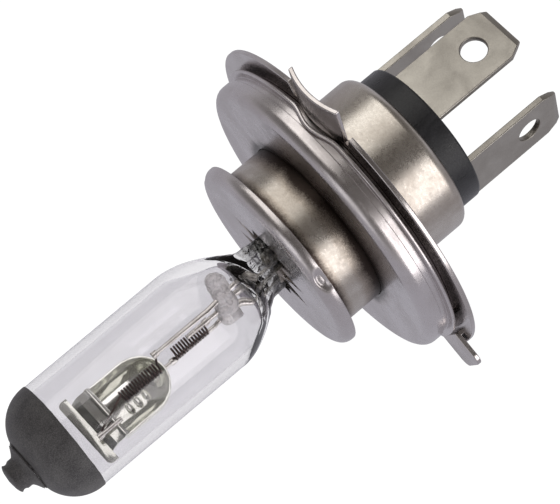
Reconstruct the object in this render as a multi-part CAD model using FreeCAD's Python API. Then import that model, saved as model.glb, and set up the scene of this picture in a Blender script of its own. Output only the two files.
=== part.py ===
import FreeCAD, Part
import math
import os

# Twin-filament halogen headlamp bulb with a three-lug prefocus base.
# Millimetres. The bulb axis is X: the glass tip points to -X and the terminals to +X.
# +Z is the top of the bulb as fitted in the lamp, on the side of the wide lug.
# The origin is on the axis, in the front face of the lug flange.

V = FreeCAD.Vector
ORIGIN = V(0, 0, 0)
AXIS_X = V(1, 0, 0)
AXIS_Z = V(0, 0, 1)

# Glass capsule: drawn tube, domed tip with its tip-off nipple, and the pressed seal
TUBE_R = 7.1
TUBE_WALL = 1.0
TUBE_LENGTH = 21.4
DOME_LENGTH = 4.8
SHOULDER_R = 3.6
TIP_FACE_LENGTH = 1.1
NIPPLE_R = 1.85
NIPPLE_LENGTH = 1.8
NIPPLE_EDGE = 0.45
PRESS_START_X = -21.2
PRESS_LENGTH = 7.2
PRESS_FLARE = 0.3
PINCH_WIDTH = 9.6
PINCH_THICKNESS = 3.5
PINCH_LENGTH = 11.2
CAVITY_DOME_R = 3.8
CAVITY_END_GAP = 1.3
CAVITY_END_HALF_THICKNESS = 0.6
CAVITY_SIDE_WALL = 1.2
COATING_LENGTH = 8.0
COATING_THICKNESS = 0.08

# Wires inside the capsule: three leads in a row up the seal, held by a glass bead
MOUNT_Y = -0.5
LEAD_R = 0.28
LEAD_SPACING = 2.0
LEAD_ROW_Z = 0.0
LEAD_JOG = 0.8
LEAD_CLEARANCE = 0.08
HIGH_LEAD_LAP = 2.4
BEAD_R = 1.35
BEAD_LENGTH = 7.6
BEAD_Z = 0.5
BEAD_FROM_PRESS = 2.7

# Filaments: axial coils, high beam nearest the base
COIL_R = 0.72
COIL_WIRE_R = 0.12
COIL_PITCH = 0.38
LOW_COIL_TURNS = 14
HIGH_COIL_TURNS = 12.5
HIGH_COIL_START_X = -22.2
LOW_COIL_START_X = -29.2
FILAMENT_Z = -1.1
LEG_R = 0.12
CRIMP_WALL = 0.16
CRIMP_LENGTH = 0.7

# Low-beam shield: a pressed bowl under the low-beam coil, with a stepped apron in front
SHIELD_THICKNESS = 0.22
SHIELD_R = 3.9
SHIELD_START_X = -28.5
SHIELD_BARREL_LENGTH = 4.6
SHIELD_RIM_BELOW_COIL = 0.35
SHIELD_GLASS_GAP = 0.75
APRON_LENGTH = 3.6
APRON_WIDTH = 10.2
APRON_CORNER = 0.7
APRON_STEP_LENGTH = 0.9
APRON_STEP_DROP = 0.7
APRON_STRIP = 1.3
SHIELD_WINDOW_R = 2.4
RIDGE_R = 0.42
POST_R = 0.3
POST_LENGTH = 2.6
POST_LAP = 0.8
POST_Y = -2.6

# Seal foils and the outer leads behind them
FOIL_LENGTH = 4.5
FOIL_WIDTH = 1.6
FOIL_THICKNESS = 0.08
FOIL_LAP = 0.6
FOIL_START_X = -12.6
OUTER_LEAD_R = 0.35
OUTER_LEAD_STRAIGHT = 0.6

# Base shell: one drawn sleeve from the seal cup to the terminals
SHELL_R = 10.75
SHELL_WALL = 0.4
SHELL_REAR_X = 9.3
SHELL_ROLL_R = 1.2

# Seal cup that closes the sleeve in front, and the clawed clip that grips the seal
SEAL_CUP_R = 12.7
SEAL_CUP_WALL = 0.45
SEAL_CUP_FACE_X = -11.4
SEAL_CUP_DEPTH = 1.7
SEAL_CUP_CORNER = 1.3
SEAL_CUP_OPENING_GAP = 0.42
CLAW_REACH = 5.8
CLAW_SLITS = 3
CLAW_SLIT_WIDTH = 2.3
DIMPLE_R = 1.0
DIMPLE_LAP = 0.1
DIMPLE_COUNT = 3
DIMPLE_ANGLE = 51.0
CLIP_THICKNESS = 0.35
CLIP_R = 9.6
CLIP_LEG_LENGTH = 6.0
CLIP_LEG_WIDTH = 6.0
CLIP_TOOTH_LENGTH = 1.1

# Seat cup: the stepped collar that centres the bulb in the lamp
SEAT_R = 19.0
SEAT_WALL = 0.6
SEAT_FACE_X = -4.2
SEAT_CORNER = 1.3
SEAT_BAND_LENGTH = 0.95
SEAT_STEP = 0.25
SEAT_LIP_R = 19.6
SEAT_LIP_REAR_X = -0.65
SEAT_LIP_THICKNESS = 0.45
SEAT_LIP_EDGE = 0.18
SEAT_HEEL_R = 18.2
SLEEVE_FIT = 0.03

# Lug flange
FLANGE_R = 21.5
FLANGE_THICKNESS = 0.6
LUG_REACH = 25.2
SIDE_LUG_REACH = 24.3
TOP_LUG_WIDTH = 8.0
SIDE_LUG_WIDTH = 6.0
SIDE_LUG_CORNER = 1.2
LUG_ROOT_R = 19.2
LUG_ROOT_LAP = 0.6
LUG_SET_FORWARD = 0.8
LUG_LIP_GAP = 0.1
LUG_BOW = 0.8
LUG_RELIEF = 0.9
SIDE_LUG_ANGLE = 120.0

# Terminal insulator and the three blade terminals
INSULATOR_R = 9.35
INSULATOR_FRONT_X = 1.6
INSULATOR_REAR_X = 12.4
INSULATOR_FIT = 0.05
INSULATOR_RECESS_R = 4.6
INSULATOR_RECESS_DEPTH = 3.0
INSULATOR_EDGE = 0.35
BLADE_WIDTH = 7.75
BLADE_THICKNESS = 0.8
BLADE_RADIUS = 8.0
BLADE_TIP_X = 25.5
BLADE_CORNER_LENGTH = 2.0
BLADE_CORNER_WIDTH = 1.0
BLADE_BEVEL_LENGTH = 0.7
BLADE_BEVEL_DEPTH = 0.22
BLADE_HOLE_R = 1.6
BLADE_HOLE_FROM_TIP = 4.5
BLADE_SHANK_WIDTH = 3.2
BLADE_SHANK_START_X = -0.6
BLADE_BODY_START_X = 3.6

# Stations worked out from the sizes above
TUBE_END_X = PRESS_START_X - TUBE_LENGTH
SHOULDER_X = TUBE_END_X - DOME_LENGTH
NIPPLE_ROOT_X = SHOULDER_X - TIP_FACE_LENGTH
NIPPLE_END_X = NIPPLE_ROOT_X - NIPPLE_LENGTH
PRESS_END_X = PRESS_START_X + PRESS_LENGTH
PINCH_END_X = PRESS_END_X + PINCH_LENGTH
CAVITY_END_X = PRESS_END_X - CAVITY_END_GAP
COATING_EDGE_X = NIPPLE_END_X + COATING_LENGTH
BEAD_X = PRESS_START_X + BEAD_FROM_PRESS
LOW_LEAD_Z = LEAD_ROW_Z + LEAD_SPACING
COMMON_LEAD_Z = LEAD_ROW_Z - LEAD_SPACING
HIGH_COIL_END_X = HIGH_COIL_START_X - HIGH_COIL_TURNS * COIL_PITCH
SHIELD_RIM_Z = FILAMENT_Z - SHIELD_RIM_BELOW_COIL
SHIELD_FLOOR_Z = TUBE_WALL + SHIELD_GLASS_GAP - TUBE_R
SHIELD_BOWL_Z = SHIELD_FLOOR_Z + SHIELD_R
BARREL_REAR_X = SHIELD_START_X - SHIELD_R
BARREL_FRONT_X = BARREL_REAR_X - SHIELD_BARREL_LENGTH
APRON_FRONT_X = BARREL_FRONT_X - APRON_LENGTH
FOIL_END_X = FOIL_START_X + FOIL_LENGTH
SEAL_CUP_INNER_X = SEAL_CUP_FACE_X + SEAL_CUP_WALL
SEAL_CUP_RIM_X = SEAL_CUP_FACE_X + SEAL_CUP_DEPTH
TERMINAL_ANGLES = {"terminal_top": 0, "terminal_left": -90, "terminal_right": 90}


def profile_wire(corners):
    """Closed outline in the XY plane from corners of (x, y, corner radius)."""
    edges = []
    ends = []
    count = len(corners)
    for index in range(count):
        before = V(*corners[index - 1][:2], 0)
        here = V(*corners[index][:2], 0)
        after = V(*corners[(index + 1) % count][:2], 0)
        radius = corners[index][2]
        to_before = (before - here).normalize()
        to_after = (after - here).normalize()
        if radius <= 0:
            ends.append((here, None, here))
            continue
        half = to_before.getAngle(to_after) / 2
        setback = radius / math.tan(half)
        centre = here + (to_before + to_after).normalize() * (radius / math.sin(half))
        middle = centre + (here - centre).normalize() * radius
        ends.append((here + to_before * setback, middle, here + to_after * setback))
    for index in range(count):
        start, middle, end = ends[index]
        if middle is not None:
            edges.append(Part.Arc(start, middle, end).toShape())
        following = ends[(index + 1) % count][0]
        if (following - end).Length > 1e-6:
            edges.append(Part.makeLine(end, following))
    return Part.Wire(edges)


def turned(corners):
    """Solid of revolution about the bulb axis from a rounded (x, radius) outline."""
    return Part.Face(profile_wire(corners)).revolve(ORIGIN, AXIS_X, 360)


def slab(x0, x1, y0, y1, z0, z1):
    """Plain block between two corners."""
    return Part.makeBox(x1 - x0, y1 - y0, z1 - z0, V(x0, y0, z0))


def disc(radius, x0, x1):
    """Round block about the bulb axis."""
    return Part.makeCylinder(radius, x1 - x0, V(x0, 0, 0), AXIS_X)


def about_axis(shape, angle):
    """Copy of a shape turned about the bulb axis; positive goes from +Y to +Z."""
    copy = shape.copy()
    copy.rotate(ORIGIN, AXIS_X, angle)
    return copy


def bent_wire(points, radius):
    """Round wire through the points, with a ball at each bend."""
    rod = None
    for start, end in zip(points, points[1:]):
        run = Part.makeCylinder(radius, (end - start).Length, start, end - start)
        rod = run if rod is None else rod.fuse(run)
        if end is not points[-1]:
            rod = rod.fuse(Part.makeSphere(radius, end))
    return rod.removeSplitter()


def s_curve(x0, x1, h0, h1):
    """Smooth step between two half-heights, level at both ends."""
    middle = (x0 + x1) / 2
    curve = Part.BezierCurve()
    curve.setPoles([V(x0, h0, 0), V(middle, h0, 0), V(middle, h1, 0), V(x1, h1, 0)])
    return curve.toShape()


def press_block(front_x, step, rear_x, half_heights, sideways):
    """Block that is full height over the tube and steps down to the pressed seal."""
    full, pressed = half_heights
    upper = s_curve(step[0], step[1], full, pressed)
    lower = s_curve(step[0], step[1], -full, -pressed)
    outline = Part.Wire([
        Part.makeLine(V(front_x, full, 0), V(step[0], full, 0)),
        upper,
        Part.makeLine(V(step[1], pressed, 0), V(rear_x, pressed, 0)),
        Part.makeLine(V(rear_x, pressed, 0), V(rear_x, -pressed, 0)),
        Part.makeLine(V(rear_x, -pressed, 0), V(step[1], -pressed, 0)),
        lower,
        Part.makeLine(V(step[0], -full, 0), V(front_x, -full, 0)),
        Part.makeLine(V(front_x, -full, 0), V(front_x, full, 0)),
    ])
    reach = 2 * TUBE_R
    block = Part.Face(outline).extrude(V(0, 0, 2 * reach))
    block.translate(V(0, 0, -reach))
    return about_axis(block, 90) if sideways else block


def domed_tube(grow, rear_x):
    """Round bar with the capsule's domed tip and nipple, ending square at rear_x."""
    radius = TUBE_R + grow
    shoulder = V(SHOULDER_X - grow, SHOULDER_R, 0)
    dome_start = V(TUBE_END_X, radius, 0)
    chord = shoulder - dome_start
    turn = math.atan2(abs(chord.y), abs(chord.x))
    bulge = chord.Length / 2 * math.tan(turn / 2)
    dome_middle = (shoulder + dome_start) * 0.5 + V(chord.y, -chord.x, 0).normalize() * bulge
    nipple = NIPPLE_R + grow
    nipple_root_x = NIPPLE_ROOT_X - grow
    tip_x = NIPPLE_END_X - grow
    edge = NIPPLE_EDGE
    edges = [
        Part.makeLine(V(rear_x, 0, 0), V(rear_x, radius, 0)),
        Part.makeLine(V(rear_x, radius, 0), dome_start),
        Part.Arc(dome_start, dome_middle, shoulder).toShape(),
        Part.makeLine(shoulder, V(nipple_root_x, nipple, 0)),
        Part.makeLine(V(nipple_root_x, nipple, 0), V(tip_x + edge, nipple, 0)),
        Part.makeLine(V(tip_x + edge, nipple, 0), V(tip_x, nipple - edge, 0)),
        Part.makeLine(V(tip_x, nipple - edge, 0), V(tip_x, 0, 0)),
        Part.makeLine(V(tip_x, 0, 0), V(rear_x, 0, 0)),
    ]
    return Part.Face(Part.Wire(edges)).revolve(ORIGIN, AXIS_X, 360)


def capsule_cavity():
    """Gas space: a round bore with a domed front, pressed shut towards the seal."""
    bore = TUBE_R - TUBE_WALL
    front_x = SHOULDER_X + TUBE_WALL
    space = turned([
        (front_x, 0, 0),
        (front_x, bore, CAVITY_DOME_R),
        (CAVITY_END_X, bore, 0),
        (CAVITY_END_X, 0, 0),
    ])
    full = TUBE_R + PRESS_FLARE - TUBE_WALL
    step = (PRESS_START_X - PRESS_FLARE, CAVITY_END_X)
    thin = press_block(front_x - 1, step, CAVITY_END_X + 1, (full, CAVITY_END_HALF_THICKNESS), False)
    wide = press_block(front_x - 1, step, CAVITY_END_X + 1,
                       (full, PINCH_WIDTH / 2 - CAVITY_SIDE_WALL), True)
    return space.common(thin).common(wide)


def glass_envelope(sealed_in):
    """Tube, tip and pressed seal in one piece, with the sealed-in metal cut out."""
    full = TUBE_R + PRESS_FLARE
    step = (PRESS_START_X, PRESS_END_X)
    front_x = NIPPLE_END_X - 2
    thin = press_block(front_x, step, PINCH_END_X + 1, (full, PINCH_THICKNESS / 2), False)
    wide = press_block(front_x, step, PINCH_END_X + 1, (full, PINCH_WIDTH / 2), True)
    body = domed_tube(0, PINCH_END_X).common(thin).common(wide)
    body = body.cut(capsule_cavity())
    for piece in sealed_in:
        body = body.cut(piece)
    return body


def tip_coating():
    """Opaque cap baked onto the dome, so that no direct light leaves forwards."""
    return domed_tube(COATING_THICKNESS, COATING_EDGE_X).cut(domed_tube(0, COATING_EDGE_X + 1))


def coil(start_x, turns):
    """Helical filament coil from start_x towards the tip; it starts at the top of its rim."""
    path = Part.Wire(Part.makeHelix(COIL_PITCH, turns * COIL_PITCH, COIL_R).Edges)
    section = Part.Wire(Part.makeCircle(COIL_WIRE_R, V(COIL_R, 0, 0), V(0, 1, 0)).Edges)
    spring = path.makePipeShell([section], True, True)
    spring.rotate(ORIGIN, V(0, 1, 0), -90)
    spring.translate(V(start_x, MOUNT_Y, FILAMENT_Z))
    return spring


def coil_end(start_x, turns, at_tip):
    """Centre of the wire at one end of a coil."""
    turn = 2 * math.pi * turns if at_tip else 0
    x = start_x - turns * COIL_PITCH if at_tip else start_x
    return V(x, MOUNT_Y + COIL_R * math.sin(turn), FILAMENT_Z + COIL_R * math.cos(turn))


def filament(start_x, turns, rear_hold, front_hold):
    """Coil with a straight leg at each end; a hold is the anchor point and the wire there."""
    rear_leg = bent_wire([coil_end(start_x, turns, False), rear_hold[0]], LEG_R).cut(rear_hold[1])
    front_leg = bent_wire([coil_end(start_x, turns, True), front_hold[0]], LEG_R).cut(front_hold[1])
    return coil(start_x, turns).fuse(rear_leg).fuse(front_leg)


def inner_lead(row_z, end_x, end_z):
    """Lead from its foil through the bead; past the bead it may change height."""
    bend_x = BEAD_X - BEAD_R - LEAD_R
    return bent_wire([
        V(FOIL_START_X + FOIL_LAP, MOUNT_Y, row_z),
        V(bend_x, MOUNT_Y, row_z),
        V(bend_x - LEAD_JOG, MOUNT_Y, end_z),
        V(end_x, MOUNT_Y, end_z),
    ], LEAD_R)


def crimp(x, y, z, wire_r):
    """Small tube pinched round a wire where a filament leg is welded to it."""
    sleeve = Part.makeCylinder(wire_r + CRIMP_WALL, CRIMP_LENGTH, V(x, y, z), AXIS_X)
    return sleeve.cut(Part.makeCylinder(wire_r, CRIMP_LENGTH, V(x, y, z), AXIS_X))


def bridge_bead(leads):
    """Glass bar fused across the three leads."""
    low = V(BEAD_X, MOUNT_Y, BEAD_Z - BEAD_LENGTH / 2 + BEAD_R)
    high = V(BEAD_X, MOUNT_Y, BEAD_Z + BEAD_LENGTH / 2 - BEAD_R)
    bead = Part.makeCylinder(BEAD_R, (high - low).Length, low, AXIS_Z)
    bead = bead.fuse(Part.makeSphere(BEAD_R, low)).fuse(Part.makeSphere(BEAD_R, high))
    for lead in leads:
        bead = bead.cut(lead)
    return bead


def shield_bowl(radius):
    """Round-ended trough below the rim plane; its floor stays a set gap off the glass."""
    rear = V(BARREL_REAR_X, MOUNT_Y, SHIELD_BOWL_Z)
    barrel = Part.makeCylinder(radius, SHIELD_BARREL_LENGTH, rear, V(-1, 0, 0))
    bowl = barrel.fuse(Part.makeSphere(radius, rear))
    below = slab(APRON_FRONT_X, SHIELD_START_X + 1, MOUNT_Y - 2 * SHIELD_R, MOUNT_Y + 2 * SHIELD_R,
                 SHIELD_RIM_Z - 2 * SHIELD_R, SHIELD_RIM_Z)
    return bowl.common(below)


def shield_apron():
    """Flat front of the shield: a ridge, a sloping step down and the locating strip."""
    half = APRON_WIDTH / 2
    neck = SHIELD_R
    plate_rear = BARREL_FRONT_X + RIDGE_R
    strip_rear = APRON_FRONT_X + APRON_STRIP
    step_top = strip_rear + APRON_STEP_LENGTH
    bent = Part.makePolygon([
        V(plate_rear, -neck, 0),
        V(plate_rear, -neck, SHIELD_THICKNESS),
        V(step_top, -neck, SHIELD_THICKNESS),
        V(strip_rear, -neck, SHIELD_THICKNESS - APRON_STEP_DROP),
        V(strip_rear, -neck, -APRON_STEP_DROP),
        V(step_top, -neck, 0),
        V(plate_rear, -neck, 0),
    ])
    plate = Part.Face(bent).extrude(V(0, 2 * neck, 0))
    strip = Part.Face(profile_wire([
        (strip_rear, -half, 0),
        (strip_rear, half, 0),
        (APRON_FRONT_X, half, APRON_CORNER),
        (APRON_FRONT_X, -half, APRON_CORNER),
    ])).extrude(V(0, 0, SHIELD_THICKNESS))
    strip.translate(V(0, 0, -APRON_STEP_DROP))
    ridge = Part.makeCylinder(RIDGE_R, 2 * neck, V(BARREL_FRONT_X, -neck, 0), V(0, 1, 0))
    groove = Part.makeCylinder(RIDGE_R - SHIELD_THICKNESS, 2 * neck,
                               V(BARREL_FRONT_X, -neck, 0), V(0, 1, 0))
    upper = slab(BARREL_FRONT_X - 1, BARREL_FRONT_X + 1, -2 * half, 2 * half, 0, 1)
    apron = plate.fuse(strip).cut(groove).fuse(ridge.common(upper).cut(groove))
    apron.translate(V(0, MOUNT_Y, SHIELD_RIM_Z))
    return apron


def low_beam_shield():
    """Pressed bowl and apron in one sheet."""
    bowl = shield_bowl(SHIELD_R).cut(shield_bowl(SHIELD_R - SHIELD_THICKNESS))
    bulkhead_x = BARREL_FRONT_X
    bulkhead = disc(SHIELD_R, bulkhead_x, bulkhead_x + SHIELD_THICKNESS)
    bulkhead.translate(V(0, MOUNT_Y, SHIELD_BOWL_Z))
    half_space = slab(bulkhead_x - 1, bulkhead_x + 1, -2 * SHIELD_R, 2 * SHIELD_R,
                      SHIELD_RIM_Z - 2 * SHIELD_R, SHIELD_RIM_Z)
    window = disc(SHIELD_WINDOW_R, bulkhead_x - 1, bulkhead_x + 1)
    window.translate(V(0, MOUNT_Y, SHIELD_BOWL_Z))
    return bowl.fuse(bulkhead.common(half_space).cut(window)).fuse(shield_apron())


def shield_post(z, tip_x, shield):
    """Stub welded on the shield's ridge, which carries the front leg of the low-beam coil."""
    start = V(BARREL_FRONT_X + POST_LAP, POST_Y, z)
    return bent_wire([start, V(tip_x, POST_Y, z)], POST_R).cut(shield)


def foil(z):
    """Thin ribbon that carries the current through the seal."""
    half = FOIL_THICKNESS / 2
    return slab(FOIL_START_X, FOIL_END_X, MOUNT_Y + LEAD_R, MOUNT_Y + LEAD_R + 2 * half,
                z - FOIL_WIDTH / 2, z + FOIL_WIDTH / 2)


def outer_lead(z, tail):
    """Lead from the rear of a foil to the shank of its terminal."""
    return bent_wire([
        V(FOIL_END_X - FOIL_LAP, MOUNT_Y + LEAD_R - OUTER_LEAD_R, z),
        V(PINCH_END_X + OUTER_LEAD_STRAIGHT, MOUNT_Y + LEAD_R - OUTER_LEAD_R, z),
        tail,
        tail + V(INSULATOR_FRONT_X - tail.x, 0, 0),
    ], OUTER_LEAD_R)


def base_shell():
    """Drawn sleeve, open in front and rolled in over the insulator behind."""
    bore = SHELL_R - SHELL_WALL
    lip = INSULATOR_R + INSULATOR_FIT
    return turned([
        (SEAL_CUP_INNER_X, bore, 0),
        (SEAL_CUP_INNER_X, SHELL_R, 0),
        (SHELL_REAR_X, SHELL_R, SHELL_ROLL_R),
        (SHELL_REAR_X, lip, 0),
        (SHELL_REAR_X - SHELL_WALL, lip, 0),
        (SHELL_REAR_X - SHELL_WALL, bore, SHELL_ROLL_R - SHELL_WALL),
    ])


def claw_slits(depth_x0, depth_x1):
    """Pointed slits on both flat sides of the seal; what stands between them is a claw."""
    inner = PINCH_THICKNESS / 2
    slits = []
    pitch = PINCH_WIDTH / (CLAW_SLITS + 0.5)
    for side in (-1, 1):
        for index in range(CLAW_SLITS):
            z = (index - (CLAW_SLITS - 1) / 2) * pitch
            half = CLAW_SLIT_WIDTH / 2
            points = [V(depth_x0, side * inner, z - half), V(depth_x0, side * inner, z + half),
                      V(depth_x0, side * CLAW_REACH, z)]
            outline = Part.makePolygon(points + [points[0]])
            slits.append(Part.Face(outline).extrude(V(depth_x1 - depth_x0, 0, 0)))
    return slits


def pinch_cup():
    """Shallow cup over the front of the sleeve, with a clawed opening for the seal."""
    rear = SEAL_CUP_RIM_X
    inner_r = SEAL_CUP_R - SEAL_CUP_WALL
    cup = turned([
        (SEAL_CUP_FACE_X, 0, 0),
        (SEAL_CUP_FACE_X, SEAL_CUP_R, SEAL_CUP_CORNER),
        (rear, SEAL_CUP_R, 0),
        (rear, inner_r, 0),
        (SEAL_CUP_INNER_X, inner_r, SEAL_CUP_CORNER - SEAL_CUP_WALL),
        (SEAL_CUP_INNER_X, 0, 0),
    ])
    gap = SEAL_CUP_OPENING_GAP
    cup = cup.cut(slab(SEAL_CUP_FACE_X - 1, SEAL_CUP_INNER_X + 1,
                       -PINCH_THICKNESS / 2 - gap, PINCH_THICKNESS / 2 + gap,
                       -PINCH_WIDTH / 2 - gap, PINCH_WIDTH / 2 + gap))
    for slit in claw_slits(SEAL_CUP_FACE_X - 1, SEAL_CUP_INNER_X + 1):
        cup = cup.cut(slit)
    dimple_x = (SEAL_CUP_INNER_X + rear) / 2 + DIMPLE_LAP
    for index in range(DIMPLE_COUNT):
        dimple = Part.makeCylinder(DIMPLE_R, inner_r + DIMPLE_LAP - SHELL_R, V(dimple_x, 0, SHELL_R), AXIS_Z)
        dimple = dimple.common(slab(SEAL_CUP_INNER_X, rear, -DIMPLE_R, DIMPLE_R, 0, SEAL_CUP_R))
        dimple = dimple.cut(disc(SHELL_R, SEAL_CUP_FACE_X, rear + 1))
        angle = DIMPLE_ANGLE + index * 360 / DIMPLE_COUNT
        cup = cup.fuse(about_axis(dimple, angle))
    return cup


def pinch_clip():
    """Spring plate behind the cup's face: two legs and a row of teeth grip the seal."""
    start = SEAL_CUP_INNER_X
    plate = disc(CLIP_R, start, start + CLIP_THICKNESS)
    half_y = PINCH_THICKNESS / 2 + SLEEVE_FIT
    half_z = PINCH_WIDTH / 2 + SLEEVE_FIT
    plate = plate.cut(slab(start - 1, start + 1, -half_y, half_y, -half_z, half_z))
    for side in (-1, 1):
        face_y = side * half_y
        back_y = side * (half_y + CLIP_THICKNESS)
        leg = slab(start, start + CLIP_LEG_LENGTH, min(face_y, back_y), max(face_y, back_y),
                   -CLIP_LEG_WIDTH / 2, CLIP_LEG_WIDTH / 2)
        tooth = slab(start - CLIP_TOOTH_LENGTH, start, min(face_y, back_y), max(face_y, back_y),
                     -CLIP_LEG_WIDTH / 4, CLIP_LEG_WIDTH / 4)
        plate = plate.fuse(leg).fuse(tooth)
    return plate


def bowed_sheet(width, bow, thickness, front_x, z0, z1):
    """Sheet across the top of the bulb, arched towards the glass by the bow."""
    half = width / 2
    front = Part.Arc(V(front_x, -half, 0), V(front_x - bow, 0, 0), V(front_x, half, 0)).toShape()
    rear_x = front_x + thickness
    rear = Part.Arc(V(rear_x, half, 0), V(rear_x - bow, 0, 0), V(rear_x, -half, 0)).toShape()
    outline = Part.Wire([
        front,
        Part.makeLine(V(front_x, half, 0), V(rear_x, half, 0)),
        rear,
        Part.makeLine(V(rear_x, -half, 0), V(front_x, -half, 0)),
    ])
    sheet = Part.Face(outline).extrude(V(0, 0, z1 - z0))
    sheet.translate(V(0, 0, z0))
    return sheet


def seat_cup():
    """Stepped collar: face, seat band, out-turned lip and the heel that sits on the flange."""
    bore = SHELL_R + SLEEVE_FIT
    lip_front_x = SEAT_LIP_REAR_X - SEAT_LIP_THICKNESS
    band_end_x = SEAT_FACE_X + SEAT_CORNER + SEAT_BAND_LENGTH
    step_r = SEAT_R - SEAT_STEP
    inner = step_r - SEAT_WALL
    heel_inner = SEAT_HEEL_R - SEAT_WALL
    collar = turned([
        (SEAT_FACE_X, bore, 0),
        (SEAT_FACE_X, SEAT_R, SEAT_CORNER),
        (band_end_x, SEAT_R, 0),
        (band_end_x, step_r, 0),
        (lip_front_x, step_r, 0),
        (lip_front_x, SEAT_LIP_R, SEAT_LIP_EDGE),
        (SEAT_LIP_REAR_X, SEAT_LIP_R, SEAT_LIP_EDGE),
        (SEAT_LIP_REAR_X, SEAT_HEEL_R, 0),
        (0, SEAT_HEEL_R, 0),
        (0, heel_inner, 0),
        (SEAT_LIP_REAR_X - SEAT_WALL, heel_inner, 0),
        (SEAT_LIP_REAR_X - SEAT_WALL, inner, 0),
        (SEAT_FACE_X + SEAT_WALL, inner, SEAT_CORNER - SEAT_WALL),
        (SEAT_FACE_X + SEAT_WALL, bore, 0),
    ])
    half = TOP_LUG_WIDTH / 2
    reach = SEAT_LIP_R + 1
    relief = slab(lip_front_x, 0, -half, half, inner, reach).cut(disc(SEAT_HEEL_R, lip_front_x, 0))
    bowed = bowed_sheet(TOP_LUG_WIDTH, LUG_BOW, SEAT_LIP_THICKNESS, lip_front_x, inner, reach)
    ahead = lip_front_x - LUG_BOW
    bowed = bowed.common(disc(SEAT_LIP_R, ahead, 0)).cut(disc(step_r - SEAT_STEP, ahead, 0))
    return collar.cut(relief).fuse(bowed)


def side_lug():
    """Flat lug on the +Z side, set forward of the ring by a short riser."""
    root = SEAT_LIP_R + LUG_LIP_GAP
    half = SIDE_LUG_WIDTH / 2
    outline = profile_wire([
        (root, -half, 0),
        (root, half, 0),
        (SIDE_LUG_REACH, half, SIDE_LUG_CORNER),
        (SIDE_LUG_REACH, -half, SIDE_LUG_CORNER),
    ])
    tongue = Part.Face(outline).extrude(V(0, 0, FLANGE_THICKNESS))
    tongue.rotate(ORIGIN, V(0, 1, 0), -90)
    tongue.translate(V(FLANGE_THICKNESS - LUG_SET_FORWARD, 0, 0))
    riser = slab(-LUG_SET_FORWARD, FLANGE_THICKNESS, -half, half, root, root + FLANGE_THICKNESS)
    return tongue.fuse(riser)


def lug_flange():
    """Flat ring with two plain lugs and one bowed top lug between relief notches."""
    ring = disc(FLANGE_R, 0, FLANGE_THICKNESS)
    for angle in (-SIDE_LUG_ANGLE, SIDE_LUG_ANGLE):
        ring = ring.fuse(about_axis(side_lug(), angle))
    notch_half = TOP_LUG_WIDTH / 2 + LUG_RELIEF
    notch = slab(-1, FLANGE_THICKNESS + 1, -notch_half, notch_half, LUG_ROOT_R, FLANGE_R + 1)
    ring = ring.cut(notch)
    lug = bowed_sheet(TOP_LUG_WIDTH, LUG_BOW, FLANGE_THICKNESS, 0, LUG_ROOT_R - LUG_ROOT_LAP, LUG_REACH)
    lug = lug.cut(disc(LUG_ROOT_R, -LUG_BOW - 1, 0))
    ring = ring.fuse(lug)
    return ring.cut(disc(SHELL_R + SLEEVE_FIT, -2, 2))


def blade_outline(x0, x1, width):
    """Rectangle in the XY plane, centred on the axis."""
    return slab(x0, x1, -width / 2, width / 2, -BLADE_THICKNESS / 2, BLADE_THICKNESS / 2)


def blade():
    """Blade lying in the XY plane: shank, body, clipped corners, bevelled tip, detent hole."""
    half = BLADE_WIDTH / 2
    thick = BLADE_THICKNESS / 2
    body = Part.Face(profile_wire([
        (BLADE_BODY_START_X, -half, 0),
        (BLADE_TIP_X - BLADE_CORNER_LENGTH, -half, 0),
        (BLADE_TIP_X, -half + BLADE_CORNER_WIDTH, 0),
        (BLADE_TIP_X, half - BLADE_CORNER_WIDTH, 0),
        (BLADE_TIP_X - BLADE_CORNER_LENGTH, half, 0),
        (BLADE_BODY_START_X, half, 0),
    ])).extrude(V(0, 0, BLADE_THICKNESS))
    body.translate(V(0, 0, -thick))
    for side in (-1, 1):
        corner = [V(BLADE_TIP_X - BLADE_BEVEL_LENGTH, -half, side * thick),
                  V(BLADE_TIP_X + 1, -half, side * thick),
                  V(BLADE_TIP_X + 1, -half, side * (thick - BLADE_BEVEL_DEPTH)),
                  V(BLADE_TIP_X, -half, side * (thick - BLADE_BEVEL_DEPTH))]
        wedge = Part.Face(Part.makePolygon(corner + [corner[0]])).extrude(V(0, BLADE_WIDTH, 0))
        body = body.cut(wedge)
    shank = blade_outline(BLADE_SHANK_START_X, BLADE_BODY_START_X, BLADE_SHANK_WIDTH)
    hole = Part.makeCylinder(BLADE_HOLE_R, 2, V(BLADE_TIP_X - BLADE_HOLE_FROM_TIP, 0, -1), AXIS_Z)
    return body.fuse(shank).removeSplitter().cut(hole)


def terminal(angle):
    """Blade stood off the axis and turned to its place; 0 is the top of the bulb."""
    placed = blade()
    placed.translate(V(0, 0, BLADE_RADIUS))
    return about_axis(placed, angle)


def terminal_insulator(blades):
    """Moulded plug behind the sleeve's rolled edge, with the blades moulded in."""
    shoulder = SHELL_R - SHELL_WALL - INSULATOR_FIT
    plug = turned([
        (INSULATOR_FRONT_X, 0, 0),
        (INSULATOR_FRONT_X, shoulder, INSULATOR_EDGE),
        (SHELL_REAR_X - SHELL_WALL, shoulder, SHELL_ROLL_R - SHELL_WALL),
        (SHELL_REAR_X - SHELL_WALL, INSULATOR_R, 0),
        (INSULATOR_REAR_X, INSULATOR_R, INSULATOR_EDGE),
        (INSULATOR_REAR_X, INSULATOR_RECESS_R, 0),
        (INSULATOR_REAR_X - INSULATOR_RECESS_DEPTH, INSULATOR_RECESS_R, 0),
        (INSULATOR_REAR_X - INSULATOR_RECESS_DEPTH, 0, 0),
    ])
    for one in blades:
        plug = plug.cut(one)
    return plug


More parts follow.
